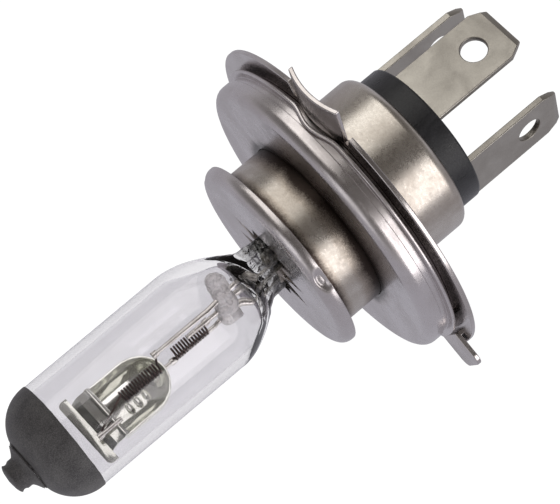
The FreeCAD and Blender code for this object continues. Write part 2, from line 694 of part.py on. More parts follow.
def tail_point(angle):
    """Where an outer lead lies on the inner face of a terminal's shank."""
    radius = BLADE_RADIUS - BLADE_THICKNESS / 2 - OUTER_LEAD_R
    turn = math.radians(angle)
    return V(BLADE_SHANK_START_X + OUTER_LEAD_R, -radius * math.sin(turn), radius * math.cos(turn))


def capsule_metal():
    """Everything inside the glass, by node name."""
    coil_reach = COIL_R + COIL_WIRE_R + LEAD_R + LEAD_CLEARANCE
    common_z = FILAMENT_Z - coil_reach
    high_z = FILAMENT_Z + coil_reach
    common_end_x = BARREL_REAR_X + math.sqrt(SHIELD_R ** 2 - (SHIELD_BOWL_Z - common_z) ** 2)
    post_z = SHIELD_RIM_Z + SHIELD_THICKNESS + POST_R + CRIMP_WALL
    post_tip_x = BARREL_FRONT_X - POST_LENGTH
    half = CRIMP_LENGTH / 2
    shield = low_beam_shield()
    low_lead = inner_lead(LOW_LEAD_Z, LOW_COIL_START_X, LOW_LEAD_Z)
    high_lead = inner_lead(LEAD_ROW_Z, HIGH_COIL_START_X - HIGH_LEAD_LAP, high_z)
    common_lead = inner_lead(COMMON_LEAD_Z, common_end_x, common_z).cut(shield)
    post = shield_post(post_z, post_tip_x, shield)
    low_anchor = V(LOW_COIL_START_X + half, MOUNT_Y, LOW_LEAD_Z - LEAD_R)
    post_anchor = V(post_tip_x + half, POST_Y + POST_R, post_z)
    high_anchor = V(HIGH_COIL_START_X + half, MOUNT_Y, high_z - LEAD_R)
    common_anchor = V(HIGH_COIL_END_X - half, MOUNT_Y, common_z + LEAD_R)
    low_coil = filament(LOW_COIL_START_X, LOW_COIL_TURNS, (low_anchor, low_lead), (post_anchor, post))
    high_coil = filament(HIGH_COIL_START_X, HIGH_COIL_TURNS,
                         (high_anchor, high_lead), (common_anchor, common_lead))
    crimps = [
        crimp(low_anchor.x - half, MOUNT_Y, LOW_LEAD_Z, LEAD_R),
        crimp(high_anchor.x - half, MOUNT_Y, high_z, LEAD_R),
        crimp(common_anchor.x - half, MOUNT_Y, common_z, LEAD_R),
        crimp(post_tip_x, POST_Y, post_z, POST_R),
    ]
    return {
        "low_beam_lead": low_lead,
        "high_beam_lead": high_lead,
        "common_lead": common_lead,
        "low_beam_filament": low_coil,
        "high_beam_filament": high_coil,
        "low_beam_shield": shield,
        "shield_post": post,
        "filament_crimps": Part.makeCompound([one.cut(low_coil).cut(high_coil) for one in crimps]),
        "bridge_bead": bridge_bead([low_lead, high_lead, common_lead]),
    }


def seal_metal():
    """Foils and outer leads, by node name."""
    rows = {
        "low": (LOW_LEAD_Z, TERMINAL_ANGLES["terminal_top"]),
        "high": (LEAD_ROW_Z, TERMINAL_ANGLES["terminal_left"]),
        "common": (COMMON_LEAD_Z, TERMINAL_ANGLES["terminal_right"]),
    }
    pieces = {}
    for name, (row_z, angle) in rows.items():
        pieces["foil_" + name] = foil(row_z)
        pieces["outer_lead_" + name] = outer_lead(row_z, tail_point(angle))
    return pieces


def base_pieces():
    """Sleeve, cups, flange, insulator and terminals, by node name."""
    terminals = {name: terminal(angle) for name, angle in TERMINAL_ANGLES.items()}
    pieces = {
        "pinch_cup": pinch_cup(),
        "pinch_clip": pinch_clip(),
        "base_shell": base_shell(),
        "seat_cup": seat_cup(),
        "lug_flange": lug_flange(),
        "terminal_insulator": terminal_insulator(terminals.values()),
    }
    pieces.update(terminals)
    return pieces


def main():
    """Build every piece and write one STEP file for each node."""
    pieces = capsule_metal()
    pieces.update(seal_metal())
    sealed_in = [shape for name, shape in pieces.items() if "lead" in name or "foil" in name]
    pieces["glass_envelope"] = glass_envelope(sealed_in)
    pieces["tip_coating"] = tip_coating()
    pieces.update(base_pieces())
    os.makedirs("parts", exist_ok=True)
    for name, shape in pieces.items():
        shape.exportStep("parts/" + name + ".step")
        print(name, len(shape.Solids), "solid(s)", round(shape.Volume, 3), "mm3", shape.isValid())


if __name__ == "__main__":
    main()
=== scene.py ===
"""Looks of a twin-filament halogen headlamp bulb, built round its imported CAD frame.

The bulb axis is X, the glass tip points to -X and the terminals to +X. Every length is in metres.
"""
import logging
import math
from dataclasses import dataclass, field
from enum import Enum
from typing import Callable, Sequence

import bmesh
import bpy
import numpy as np
from mathutils import Euler, Matrix, Vector, noise


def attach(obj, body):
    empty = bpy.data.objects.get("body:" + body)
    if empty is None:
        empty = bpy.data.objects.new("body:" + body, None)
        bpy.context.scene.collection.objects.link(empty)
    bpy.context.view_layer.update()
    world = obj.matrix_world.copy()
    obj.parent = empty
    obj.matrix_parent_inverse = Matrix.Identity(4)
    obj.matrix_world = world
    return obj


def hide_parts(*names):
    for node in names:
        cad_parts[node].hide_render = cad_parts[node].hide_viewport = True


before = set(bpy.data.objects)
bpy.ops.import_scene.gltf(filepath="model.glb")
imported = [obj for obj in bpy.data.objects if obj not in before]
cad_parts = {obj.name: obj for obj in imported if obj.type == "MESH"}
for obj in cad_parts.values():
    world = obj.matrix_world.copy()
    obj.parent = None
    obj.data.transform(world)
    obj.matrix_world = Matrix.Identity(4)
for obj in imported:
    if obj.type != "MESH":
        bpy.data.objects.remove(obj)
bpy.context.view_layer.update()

MM = 0.001
LOG = logging.getLogger("headlight_bulb")

Point = tuple[float, float, float]
Colour = tuple[float, float, float]


class Slot(Enum):
    """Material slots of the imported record."""

    QUARTZ = "quartz_glass"
    BEAD = "bead_glass"
    COATING = "black_coating"
    TUNGSTEN = "tungsten"
    MOLYBDENUM = "molybdenum"
    SHIELD = "shield_metal"
    SLEEVE = "nickel_sleeve"
    CUP = "nickel_cup"
    FLANGE = "nickel_flange"
    TERMINAL = "terminal_plate"
    INSULATOR = "insulator_black"


class Grain(Enum):
    """Direction that a plated sheet was brushed in."""

    ROUND_THE_AXIS = (1.0, 0.12, 0.12)
    ALONG_THE_AXIS = (0.12, 1.0, 1.0)
    EVEN = (1.0, 1.0, 1.0)


# ---------------------------------------------------------------------------------------------
# Finishes
# ---------------------------------------------------------------------------------------------


class NodeBoard:
    """Short way to lay out the nodes of a tree."""

    prefix = "ShaderNode"

    def __init__(self, tree: bpy.types.NodeTree) -> None:
        """Work on a tree."""
        self.tree = tree

    def link(self, source: bpy.types.NodeSocket, target: bpy.types.NodeSocket) -> None:
        """Join two sockets."""
        self.tree.links.new(source, target)

    def feed(self, target: bpy.types.NodeSocket, value: object) -> None:
        """Set an input, or join a socket to it."""
        if isinstance(value, bpy.types.NodeSocket):
            self.link(value, target)
        else:
            target.default_value = value

    def node(self, kind: str, settings: dict | None = None, **sockets: object) -> bpy.types.Node:
        """Add a node.

        Args:
            kind: node type name without the board's prefix.
            settings: properties to set on the node.
            **sockets: input values or sockets to join, by input name with _ for spaces.

        Returns:
            The new node.
        """
        made = self.tree.nodes.new(self.prefix + kind)
        for key, value in (settings or {}).items():
            setattr(made, key, value)
        for key, value in sockets.items():
            self.feed(made.inputs[key.replace("_", " ")], value)
        return made

    def ramp(self, value: bpy.types.NodeSocket,
             stops: Sequence[tuple[float, Colour]]) -> bpy.types.NodeSocket:
        """Colour ramp.

        Args:
            value: what runs along the ramp.
            stops: positions and colours.

        Returns:
            The colour socket.
        """
        made = self.node("ValToRGB", Fac=value)
        ladder = made.color_ramp.elements
        while len(ladder) < len(stops):
            ladder.new(0.5)
        for rung, (position, colour) in zip(ladder, stops):
            rung.position = position
            rung.color = (*colour, 1.0)
        return made.outputs[0]


class NodeSheet(NodeBoard):
    """A material's nodes, round one Principled shader."""

    def __init__(self, name: str) -> None:
        """Start an empty material with an output and a Principled shader.

        Args:
            name: name of the new material.
        """
        self.material = bpy.data.materials.new(name)
        self.material.use_nodes = True
        super().__init__(self.material.node_tree)
        self.tree.nodes.clear()
        self.output = self.node("OutputMaterial")
        self.shader = self.node("BsdfPrincipled")
        self.link(self.shader.outputs[0], self.output.inputs[0])

    def surface(self, **sockets: object) -> None:
        """Set or join inputs of the Principled shader, by input name with _ for spaces."""
        for key, value in sockets.items():
            self.feed(self.shader.inputs[key.replace("_", " ")], value)

    def place(self, stretch: Point = (1.0, 1.0, 1.0)) -> bpy.types.NodeSocket:
        """Object coordinates in millimetres, each axis stretched by a factor."""
        where = self.node("TexCoord")
        scale = tuple(f / MM for f in stretch)
        return self.node("Mapping", Vector=where.outputs["Object"], Scale=scale).outputs[0]

    def from_axis(self) -> tuple[bpy.types.NodeSocket, ...]:
        """Place against the bulb axis, in millimetres.

        Returns:
            Station along the axis, the vector square to it, and the distance from it.
        """
        split = self.node("SeparateXYZ", Vector=self.place())
        across = self.node("CombineXYZ", Y=split.outputs["Y"], Z=split.outputs["Z"]).outputs[0]
        radius = self.node("VectorMath", {"operation": "LENGTH"}, Vector=across)
        return split.outputs["X"], across, radius.outputs["Value"]

    def place_round(self, spread: float = 6.0) -> bpy.types.NodeSocket:
        """Coordinates in millimetres that run along the profile of a turned part and round its axis.

        Args:
            spread: how fast the pattern changes round the axis.

        Returns:
            The coordinate socket.
        """
        x, across, radius = self.from_axis()
        facing = self.node("VectorMath", {"operation": "NORMALIZE"}, Vector=across)
        spun = self.node("VectorMath", {"operation": "SCALE"}, Vector=facing.outputs[0], Scale=spread)
        turn = self.node("SeparateXYZ", Vector=spun.outputs[0])
        along = self.total(x, radius)
        return self.node("CombineXYZ", X=along, Y=turn.outputs["Y"], Z=turn.outputs["Z"]).outputs[0]

    def corner_distance(self, x: float, radius: float) -> bpy.types.NodeSocket:
        """Distance in millimetres from a circle about the bulb axis.

        Args:
            x: station of the circle.
            radius: its radius.

        Returns:
            The distance socket.
        """
        station, _, spread = self.from_axis()
        gap = self.node("CombineXYZ", X=self.total(station, x, "SUBTRACT"),
                        Y=self.total(spread, radius, "SUBTRACT"))
        return self.node("VectorMath", {"operation": "LENGTH"}, Vector=gap.outputs[0]).outputs["Value"]

    def clouds(self, where: bpy.types.NodeSocket, scale: float, detail: float = 3.0,
               rough: float = 0.55, warp: float = 0.0) -> bpy.types.NodeSocket:
        """Noise pattern.

        Args:
            where: coordinate socket.
            scale: features per millimetre.
            detail: octaves.
            rough: strength of the finer octaves.
            warp: distortion.

        Returns:
            The pattern's value socket.
        """
        made = self.node("TexNoise", Vector=where, Scale=scale, Detail=detail, Roughness=rough,
                         Distortion=warp)
        return made.outputs[0]

    def span(self, value: bpy.types.NodeSocket, low: float, high: float,
             source: tuple[float, float] = (0.0, 1.0)) -> bpy.types.NodeSocket:
        """Map a value to a new range.

        Args:
            value: the value to map.
            low: result at the start of the source range.
            high: result at its end.
            source: range of the value.

        Returns:
            The mapped socket.
        """
        made = self.node("MapRange", Value=value, From_Min=source[0], From_Max=source[1],
                         To_Min=low, To_Max=high)
        return made.outputs[0]

    def total(self, first: bpy.types.NodeSocket, second: bpy.types.NodeSocket,
              operation: str = "ADD") -> bpy.types.NodeSocket:
        """Arithmetic on two values."""
        made = self.node("Math", {"operation": operation})
        self.feed(made.inputs[0], first)
        self.feed(made.inputs[1], second)
        return made.outputs[0]

    def mix(self, share: bpy.types.NodeSocket, first: object, second: object) -> bpy.types.NodeSocket:
        """Colour between two others."""
        made = self.node("Mix", {"data_type": "RGBA"})
        for index, value in ((0, share), (6, first), (7, second)):
            self.feed(made.inputs[index], value)
        return made.outputs[2]

    def relief(self, height: bpy.types.NodeSocket, depth: float) -> None:
        """Bump from a height pattern.

        Args:
            height: pattern from 0 to 1.
            depth: height difference in metres.
        """
        bump = self.node("Bump", Height=height, Distance=depth, Strength=1.0)
        self.surface(Normal=bump.outputs[0])


@dataclass(frozen=True)
class Finish:
    """A named surface finish."""

    name: str

    def make(self) -> bpy.types.Material:
        """Build the material.

        Returns:
            The finished material.
        """
        sheet = NodeSheet(self.name)
        self.paint(sheet)
        return sheet.material

    def paint(self, sheet: NodeSheet) -> None:
        """Lay out the finish's own nodes."""
        raise NotImplementedError


@dataclass(frozen=True)
class PlatedMetal(Finish):
    """Plated or drawn metal: brushed grain, cloudy tone, fine pitting, and painted shade round given corner
    circles.
    """

    tone: Colour
    stain: Colour
    rough: float
    rough_spread: float = 0.08
    grain: Grain = Grain.EVEN
    grain_scale: float = 9.0
    grain_depth: float = 0.0012 * MM
    cloud_scale: float = 0.16
    cloud_share: float = 0.5
    aniso: float = 0.0
    metal: float = 1.0
    # Circles (x, radius, reach) round which the colour is painted darker: painted shade where parts meet.
    painted_shade: tuple[Point, ...] = ()
    # Dark end of the colour ramp: mostly the painted shade colour, and the random tone reaches a little of
    # it too.
    dark_tone_and_shade: Colour = (0.055, 0.042, 0.036)

    def paint(self, sheet: NodeSheet) -> None:
        """Brushed streaks, clouds and pits, with painted shade darkening the colour round the given circles.
        """
        plain = sheet.place()
        turned = self.grain is Grain.ROUND_THE_AXIS
        brushed = sheet.place_round() if turned else sheet.place(self.grain.value)
        streaks = sheet.clouds(brushed, self.grain_scale, 4.0, 0.6)
        pits = sheet.clouds(plain, 5.5, 3.0, 0.7)
        cloud = sheet.clouds(plain, self.cloud_scale, 4.0, 0.6, 0.6)
        tone_and_shade = sheet.total(sheet.span(cloud, 0.0, self.cloud_share, (0.35, 0.65)),
                            sheet.span(pits, -0.12, 0.3, (0.35, 0.7)))
        # Painted shade: the colour darkens towards each listed circle within its reach, on every face near
        # the circle, on either side.
        for x, radius, reach in self.painted_shade:
            held = sheet.corner_distance(x, radius)
            tone_and_shade = sheet.total(tone_and_shade, sheet.span(held, 2.2, 0.0, (0.0, reach)))
        sheet.surface(Base_Color=sheet.ramp(sheet.total(tone_and_shade, 0.5, "MULTIPLY"),
                                            [(0.0, self.tone), (0.5, self.stain), (1.0, self.dark_tone_and_shade)]),
                      Metallic=self.metal,
                      Anisotropic=self.aniso,
                      Roughness=sheet.total(
                          sheet.span(streaks, self.rough - self.rough_spread,
                                     self.rough + self.rough_spread, (0.3, 0.7)),
                          sheet.span(cloud, -0.04, 0.05, (0.35, 0.65))))
        sheet.relief(sheet.total(streaks, sheet.span(pits, 0.0, 0.5)), self.grain_depth)


@dataclass(frozen=True)
class ClearGlass(Finish):
    """Drawn fused glass with faint ripples and drawing lines."""

    tint: Colour = (0.775, 0.765, 0.79)
    clear: Colour = (0.80, 0.79, 0.815)
    rim: Colour = (0.64, 0.63, 0.655)
    skin_r: float = 6.6
    # Dark seal colour over the pinch: partly the sealed foils and wires, partly painted shade from the cup
    # opening behind it.
    seal: Colour = (0.07, 0.068, 0.07)
    seal_start: float = -15.4
    seal_full: float = -13.0
    ior: float = 1.46
    ripple: float = 0.006 * MM
    line_depth: float = 0.0015 * MM

    def paint(self, sheet: NodeSheet) -> None:
        """Tinted skin over the tube and a dark seal, partly the foils inside and partly painted shade of the
        cup opening, with ripples and drawing lines.
        """
        slow = sheet.clouds(sheet.place(), 0.35, 2.0, 0.4)
        lines = sheet.clouds(sheet.place((0.05, 1.0, 1.0)), 1.6, 2.0, 0.5)
        station, _, radius = sheet.from_axis()
        patchy = sheet.span(sheet.clouds(sheet.place(), 0.9, 3.0, 0.6), 0.45, 1.35, (0.3, 0.7))
        # Painted shade over the pinch seal: past the seal's start the body blends towards the dark seal
        # colour, in irregular patches.
        depth = sheet.total(sheet.span(station, 0.0, 1.0, (self.seal_start, self.seal_full)),
                            patchy, "MULTIPLY")
        body = sheet.mix(depth, self.drawn_skin(sheet, slow, radius), (*self.seal, 1.0))
        sheet.surface(Base_Color=body, Transmission_Weight=1.0, IOR=self.ior,
                      Roughness=sheet.span(lines, 0.0, 0.012, (0.4, 0.8)))
        share = self.line_depth / self.ripple
        sheet.relief(sheet.total(slow, sheet.span(lines, 0.0, share)), self.ripple)

    def drawn_skin(self, sheet: NodeSheet, slow: bpy.types.NodeSocket,
                   radius: bpy.types.NodeSocket) -> bpy.types.NodeSocket:
        """Body colour of the tube, deeper where the outer skin turns away.

        Args:
            sheet: the glass's nodes.
            slow: slow pattern that the tint follows.
            radius: distance from the bulb axis.

        Returns:
            The colour socket.
        """
        outer = sheet.total(radius, self.skin_r, "GREATER_THAN")
        facing = sheet.node("LayerWeight", Blend=0.5).outputs["Facing"]
        edge = sheet.total(sheet.span(facing, 0.0, 1.0, (0.38, 0.55)), outer, "MULTIPLY")
        return sheet.mix(edge, sheet.ramp(slow, [(0.3, self.tint), (0.7, self.clear)]), (*self.rim, 1.0))


@dataclass(frozen=True)
class MilkyGlass(Finish):
    """Fused bead with swirled milky veins."""

    clear: Colour = (0.98, 0.96, 0.96)
    milk: Colour = (0.95, 0.92, 0.91)

    def paint(self, sheet: NodeSheet) -> None:
        """Swirl between clear and milky glass."""
        swirl = sheet.clouds(sheet.place((1.0, 1.0, 0.45)), 1.1, 4.0, 0.6, 1.8)
        sheet.surface(Base_Color=sheet.ramp(swirl, [(0.35, self.clear), (0.65, self.milk)]),
                      Transmission_Weight=sheet.span(swirl, 0.6, 0.1, (0.4, 0.6)),
                      Roughness=sheet.span(swirl, 0.04, 0.22, (0.35, 0.7)), IOR=1.28)
        sheet.relief(swirl, 0.05 * MM)


@dataclass(frozen=True)
class BakedCoating(Finish):
    """Matt dark film with fine mineral speckle."""

    body: Colour = (0.038, 0.035, 0.038)
    fleck: Colour = (0.17, 0.165, 0.165)

    def paint(self, sheet: NodeSheet) -> None:
        """Flecked film, smoother in patches."""
        where = sheet.place()
        fine = sheet.clouds(where, 7.0, 3.0, 0.8)
        patch = sheet.clouds(where, 0.5, 3.0, 0.6)
        both = sheet.total(sheet.span(fine, 0.0, 0.75, (0.42, 0.75)),
                           sheet.span(patch, 0.0, 0.35, (0.3, 0.7)))
        sheet.surface(Base_Color=sheet.ramp(both, [(0.0, self.body), (1.0, self.fleck)]),
                      Roughness=sheet.span(patch, 0.5, 0.68, (0.3, 0.7)),
                      Specular_IOR_Level=0.45)
        sheet.relief(fine, 0.02 * MM)


@dataclass(frozen=True)
class MouldedPlug(Finish):
    """Black moulding compound, slightly glossy, with flow marks and dust-fine pits."""

    body: Colour = (0.012, 0.012, 0.014)
    bloom: Colour = (0.05, 0.05, 0.055)

    def paint(self, sheet: NodeSheet) -> None:
        """Flow marks and fine pits."""
        where = sheet.place()
        flow = sheet.clouds(sheet.place((0.5, 1.0, 1.0)), 0.4, 4.0, 0.6, 0.8)
        fine = sheet.clouds(where, 6.0, 3.0, 0.75)
        sheet.surface(Base_Color=sheet.ramp(sheet.total(sheet.span(flow, 0.0, 0.6, (0.35, 0.7)),
                                                        sheet.span(fine, 0.0, 0.4, (0.45, 0.75))),
                                            [(0.0, self.body), (1.0, self.bloom)]),
                      Roughness=sheet.span(flow, 0.24, 0.42, (0.3, 0.7)),
                      Specular_IOR_Level=0.4)
        sheet.relief(sheet.total(fine, flow), 0.03 * MM)


@dataclass(frozen=True)
class LightTable(Finish):
    """Pale lit table top under the bulb."""

    glow: float = 0.98

    def paint(self, sheet: NodeSheet) -> None:
        """Even glow over a grey top."""
        sheet.surface(Base_Color=(0.16, 0.16, 0.16, 1.0), Roughness=0.9,
                      Emission_Color=(1.0, 1.0, 1.0, 1.0), Emission_Strength=self.glow)


# ---------------------------------------------------------------------------------------------
# Mesh work shared by the sub-assemblies
# ---------------------------------------------------------------------------------------------


class Workshop:
    """Mesh and Geometry Nodes work that several sub-assemblies share."""

    @staticmethod
    def stand(name: str, data: bpy.types.ID) -> bpy.types.Object:
        """New object in the scene."""
        made = bpy.data.objects.new(name, data)
        bpy.context.scene.collection.objects.link(made)
        return made

    @staticmethod
    def piece(name: str, vertices: np.ndarray, faces: Sequence[Sequence[int]]) -> bpy.types.Object:
        """Make a smooth mesh piece at the origin.

        Args:
            name: name of the piece.
            vertices: points in metres.
            faces: vertex indices of each face.

        Returns:
            The new object.
        """
        mesh = bpy.data.meshes.new(name)
        mesh.from_pydata([tuple(map(float, v)) for v in vertices], [], [list(map(int, f)) for f in faces])
        mesh.validate()
        mesh.shade_smooth()
        return Workshop.stand(name, mesh)

    @staticmethod
    def tube_grid(rings: np.ndarray, flip: bool = False) -> tuple[np.ndarray, list[list[int]]]:
        """Closed skin over rings of points, with a fan at each end.

        Args:
            rings: array of ring, point and coordinate; each ring runs round the skin.
            flip: turn the faces the other way.

        Returns:
            Vertices and faces.
        """
        count, around = rings.shape[:2]
        points = np.vstack([rings.reshape(-1, 3), rings[0].mean(0)[None], rings[-1].mean(0)[None]])
        faces: list[list[int]] = []
        for ring in range(count - 1):
            for step in range(around):
                following = (step + 1) % around
                a, b = ring * around + step, ring * around + following
                faces.append([a, b, b + around, a + around])
        first, last = count * around, count * around + 1
        base = (count - 1) * around
        for step in range(around):
            following = (step + 1) % around
            faces.append([following, step, first])
            faces.append([base + step, base + following, last])
        if flip:
            faces = [face[::-1] for face in faces]
        return points, faces

    @staticmethod
    def turn_outwards(made: bpy.types.Object) -> None:
        """Merge doubles and point every face outwards."""
        work = bmesh.new()
        work.from_mesh(made.data)
        bmesh.ops.remove_doubles(work, verts=work.verts, dist=0.0005 * MM)
        bmesh.ops.recalc_face_normals(work, faces=work.faces)
        work.to_mesh(made.data)
        work.free()

    @staticmethod
    def join(name: str, parts: Sequence[bpy.types.Object]) -> bpy.types.Object:
        """Join several pieces into one."""
        work = bmesh.new()
        for part in parts:
            work.from_mesh(part.data)
        mesh = bpy.data.meshes.new(name)
        work.to_mesh(mesh)
        work.free()
        mesh.shade_smooth()
        for part in parts:
            bpy.data.objects.remove(part)
        return Workshop.stand(name, mesh)

    @staticmethod
    def settle(made: bpy.types.Object, name: str) -> bpy.types.Object:
        """Turn a modified object into a plain mesh piece.

        Args:
            made: object with modifiers.
            name: name of the finished piece.

        Returns:
            The plain piece.
        """
        bpy.context.view_layer.update()
        graph = bpy.context.evaluated_depsgraph_get()
        mesh = bpy.data.meshes.new_from_object(made.evaluated_get(graph), depsgraph=graph)
        mesh.name = name
        bpy.data.objects.remove(made)
        return Workshop.stand(name, mesh)

    @staticmethod
    def rounded(corners: Sequence[Point], ease: float = 0.08, steps: int = 5,
                hug: float = 0.04) -> list[tuple[float, float]]:
        """Closed outline with every corner rounded and the flats held straight beside it.

        Args:
            corners: two coordinates and a corner radius, in order round the outline.
            ease: radius of the corners that have none.
            steps: steps across each corner.
            hug: distance from a corner to the point that keeps the flat beside it flat.

        Returns:
            Points of the outline.
        """
        outline: list[tuple[float, float]] = []
        for index, (here_x, here_y, asked) in enumerate(corners):
            here = Vector((here_x, here_y))
            back = Vector(corners[index - 1][:2]) - here
            on = Vector(corners[(index + 1) % len(corners)][:2]) - here
            radius = max(asked, ease)
            half = back.angle(on) / 2
            setback = radius / math.tan(half)
            back.normalize()
            on.normalize()
            centre = here + (back + on).normalized() * (radius / math.sin(half))
            first = here + back * setback - centre
            last = here + on * setback - centre
            start = math.atan2(first.y, first.x)
            sweep = (math.atan2(last.y, last.x) - start + math.pi) % (2 * math.pi) - math.pi
            outline.append(tuple(here + back * (setback + hug)))
            for step in range(steps + 1):
                turn = start + sweep * step / steps
                outline.append((centre.x + radius * math.cos(turn), centre.y + radius * math.sin(turn)))
            outline.append(tuple(here + on * (setback + hug)))
        return outline

    @staticmethod
    def ring_mesh(name: str, columns: np.ndarray) -> bpy.types.Object:
        """Closed ring-shaped piece from profiles that stand side by side round the axis.

        Args:
            name: name of the piece.
            columns: array of column, profile point and coordinate, in millimetres.

        Returns:
            The new piece.
        """
        around, count = columns.shape[:2]
        faces = []
        for column in range(around):
            following = (column + 1) % around
            for step in range(count):
                ahead = (step + 1) % count
                faces.append([column * count + step, column * count + ahead,
                              following * count + ahead, following * count + step])
        made = Workshop.piece(name, columns.reshape(-1, 3) * MM, faces)
        Workshop.turn_outwards(made)
        return made

    @staticmethod
    def turned(name: str, outline: Sequence[tuple[float, float]], around: int = 320,
               push: Callable[[float, float, float], Sequence[float]] | None = None) -> bpy.types.Object:
        """Turn an (x, radius) outline about the bulb axis.

        Args:
            name: name of the piece.
            outline: points of the closed outline, in millimetres.
            around: columns round the axis.
            push: shift along the axis and of the radius for a point (x, y, z).

        Returns:
            The new piece.
        """
        columns = []
        for turn in np.linspace(0, 2 * math.pi, around, endpoint=False):
            column = []
            for x, radius in outline:
                y, z = radius * math.sin(turn), radius * math.cos(turn)
                along, out = push(x, y, z) if push else (0.0, 0.0)
                grown = 1.0 + out / radius
                column.append((x + along, y * grown, z * grown))
            columns.append(column)
        return Workshop.ring_mesh(name, np.array(columns))

    @staticmethod
    def stacked(name: str, sections: Sequence[Sequence[Point]]) -> bpy.types.Object:
        """Solid piece through closed sections, capped at both ends.

        Args:
            name: name of the piece.
            sections: points of each section, in millimetres.

        Returns:
            The new piece.
        """
        points, faces = Workshop.tube_grid(np.array(sections))
        made = Workshop.piece(name, points * MM, faces)
        Workshop.turn_outwards(made)
        return made

    @staticmethod
    def eased_copy(node: str, name: str, ease: float, segments: int = 2,
                   angle: float = 32.0) -> bpy.types.Object:
        """Copy of a CAD node with its sharp edges eased, so that they catch the light.

        Args:
            node: CAD node to copy.
            name: name of the piece.
            ease: width of the eased edge.
            segments: steps across the edge.
            angle: edges sharper than this, in degrees, are eased.

        Returns:
            The new piece.
        """
        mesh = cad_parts[node].data.copy()
        mesh.name = name
        made = Workshop.stand(name, mesh)
        work = bmesh.new()
        work.from_mesh(mesh)
        bmesh.ops.remove_doubles(work, verts=work.verts, dist=0.002 * MM)
        bmesh.ops.dissolve_limit(work, angle_limit=math.radians(0.5), verts=work.verts, edges=work.edges)
        work.to_mesh(mesh)
        work.free()
        mesh.materials.clear()
        mesh.shade_smooth()
        bevel = made.modifiers.new("ease", "BEVEL")
        bevel.width = ease
        bevel.segments = segments
        bevel.limit_method = "ANGLE"
        bevel.angle_limit = math.radians(angle)
        bevel.use_clamp_overlap = True
        plain = Workshop.settle(made, name)
        Workshop.flatten(plain)
        return plain

    @staticmethod
    def flatten(made: bpy.types.Object) -> None:
        """Keep the faces that lie square to an axis exactly flat."""
        for face in made.data.polygons:
            face.use_smooth = max(abs(v) for v in face.normal) < 0.99999

    @staticmethod
    def dress(made: bpy.types.Object, material: bpy.types.Material, slot: Slot,
              nodes: Sequence[str]) -> bpy.types.Object:
        """Give a piece its finish and tie it to the CAD frame.

        Args:
            made: the finished piece.
            material: its finish.
            slot: record slot of that finish; not used.
            nodes: CAD nodes it stands for.

        Returns:
            The same piece.
        """
        made.data.materials.clear()
        made.data.materials.append(material)
        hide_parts(*nodes)
        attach(made, "root")
        return made

    @staticmethod
    def coat_node(node: str, material: bpy.types.Material) -> bpy.types.Object:
        """Put a finish on a CAD node that keeps its own mesh."""
        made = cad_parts[node]
        if not made.material_slots:
            made.data.materials.append(material)
        for holder in made.material_slots:
            holder.material = material
        return made


class NodeWorks(NodeBoard):
    """Geometry Nodes trees with named inputs, run once and turned into plain meshes."""

    prefix = ""

    def __init__(self, name: str, sizes: dict[str, float]) -> None:
        """Start a tree.

        Args:
            name: name of the tree.
            sizes: named inputs and the values they take.
        """
        super().__init__(bpy.data.node_groups.new(name, "GeometryNodeTree"))
        self.sizes = sizes
        face = self.tree.interface
        face.new_socket("Geometry", in_out="INPUT", socket_type="NodeSocketGeometry")
        self.identifiers: dict[str, str] = {}
        for label, value in sizes.items():
            kind = "NodeSocketInt" if isinstance(value, int) else "NodeSocketFloat"
            made = face.new_socket(label, in_out="INPUT", socket_type=kind)
            made.default_value = value
            self.identifiers[label] = made.identifier
        finish = face.new_socket("Finish", in_out="INPUT", socket_type="NodeSocketMaterial")
        self.identifiers["Finish"] = finish.identifier
        face.new_socket("Geometry", in_out="OUTPUT", socket_type="NodeSocketGeometry")
        self.start = self.tree.nodes.new("NodeGroupInput")
        self.end = self.tree.nodes.new("NodeGroupOutput")

    def size(self, label: str) -> bpy.types.NodeSocket:
        """Socket of a named input."""
        return self.start.outputs[label]

    def run(self, geometry: bpy.types.NodeSocket, base: bpy.types.Object, name: str,
            finish: bpy.types.Material) -> bpy.types.Object:
        """Close the tree, run it on an object and turn the result into a plain mesh.

        Args:
            geometry: last geometry socket of the tree.
            base: object the tree runs on; it is used up.
            name: name of the finished piece.
            finish: material that the tree sets.

        Returns:
            The plain piece.
        """
        real = self.node("GeometryNodeRealizeInstances", Geometry=geometry)
        painted = self.node("GeometryNodeSetMaterial", Geometry=real.outputs[0],
                            Material=self.size("Finish"))
        self.link(painted.outputs[0], self.end.inputs[0])
        holder = base.modifiers.new(name, "NODES")
        holder.node_group = self.tree
        for label, value in self.sizes.items():
            holder[self.identifiers[label]] = value
        holder[self.identifiers["Finish"]] = finish
        made = Workshop.settle(base, name)
        made.data.shade_smooth()
        return made


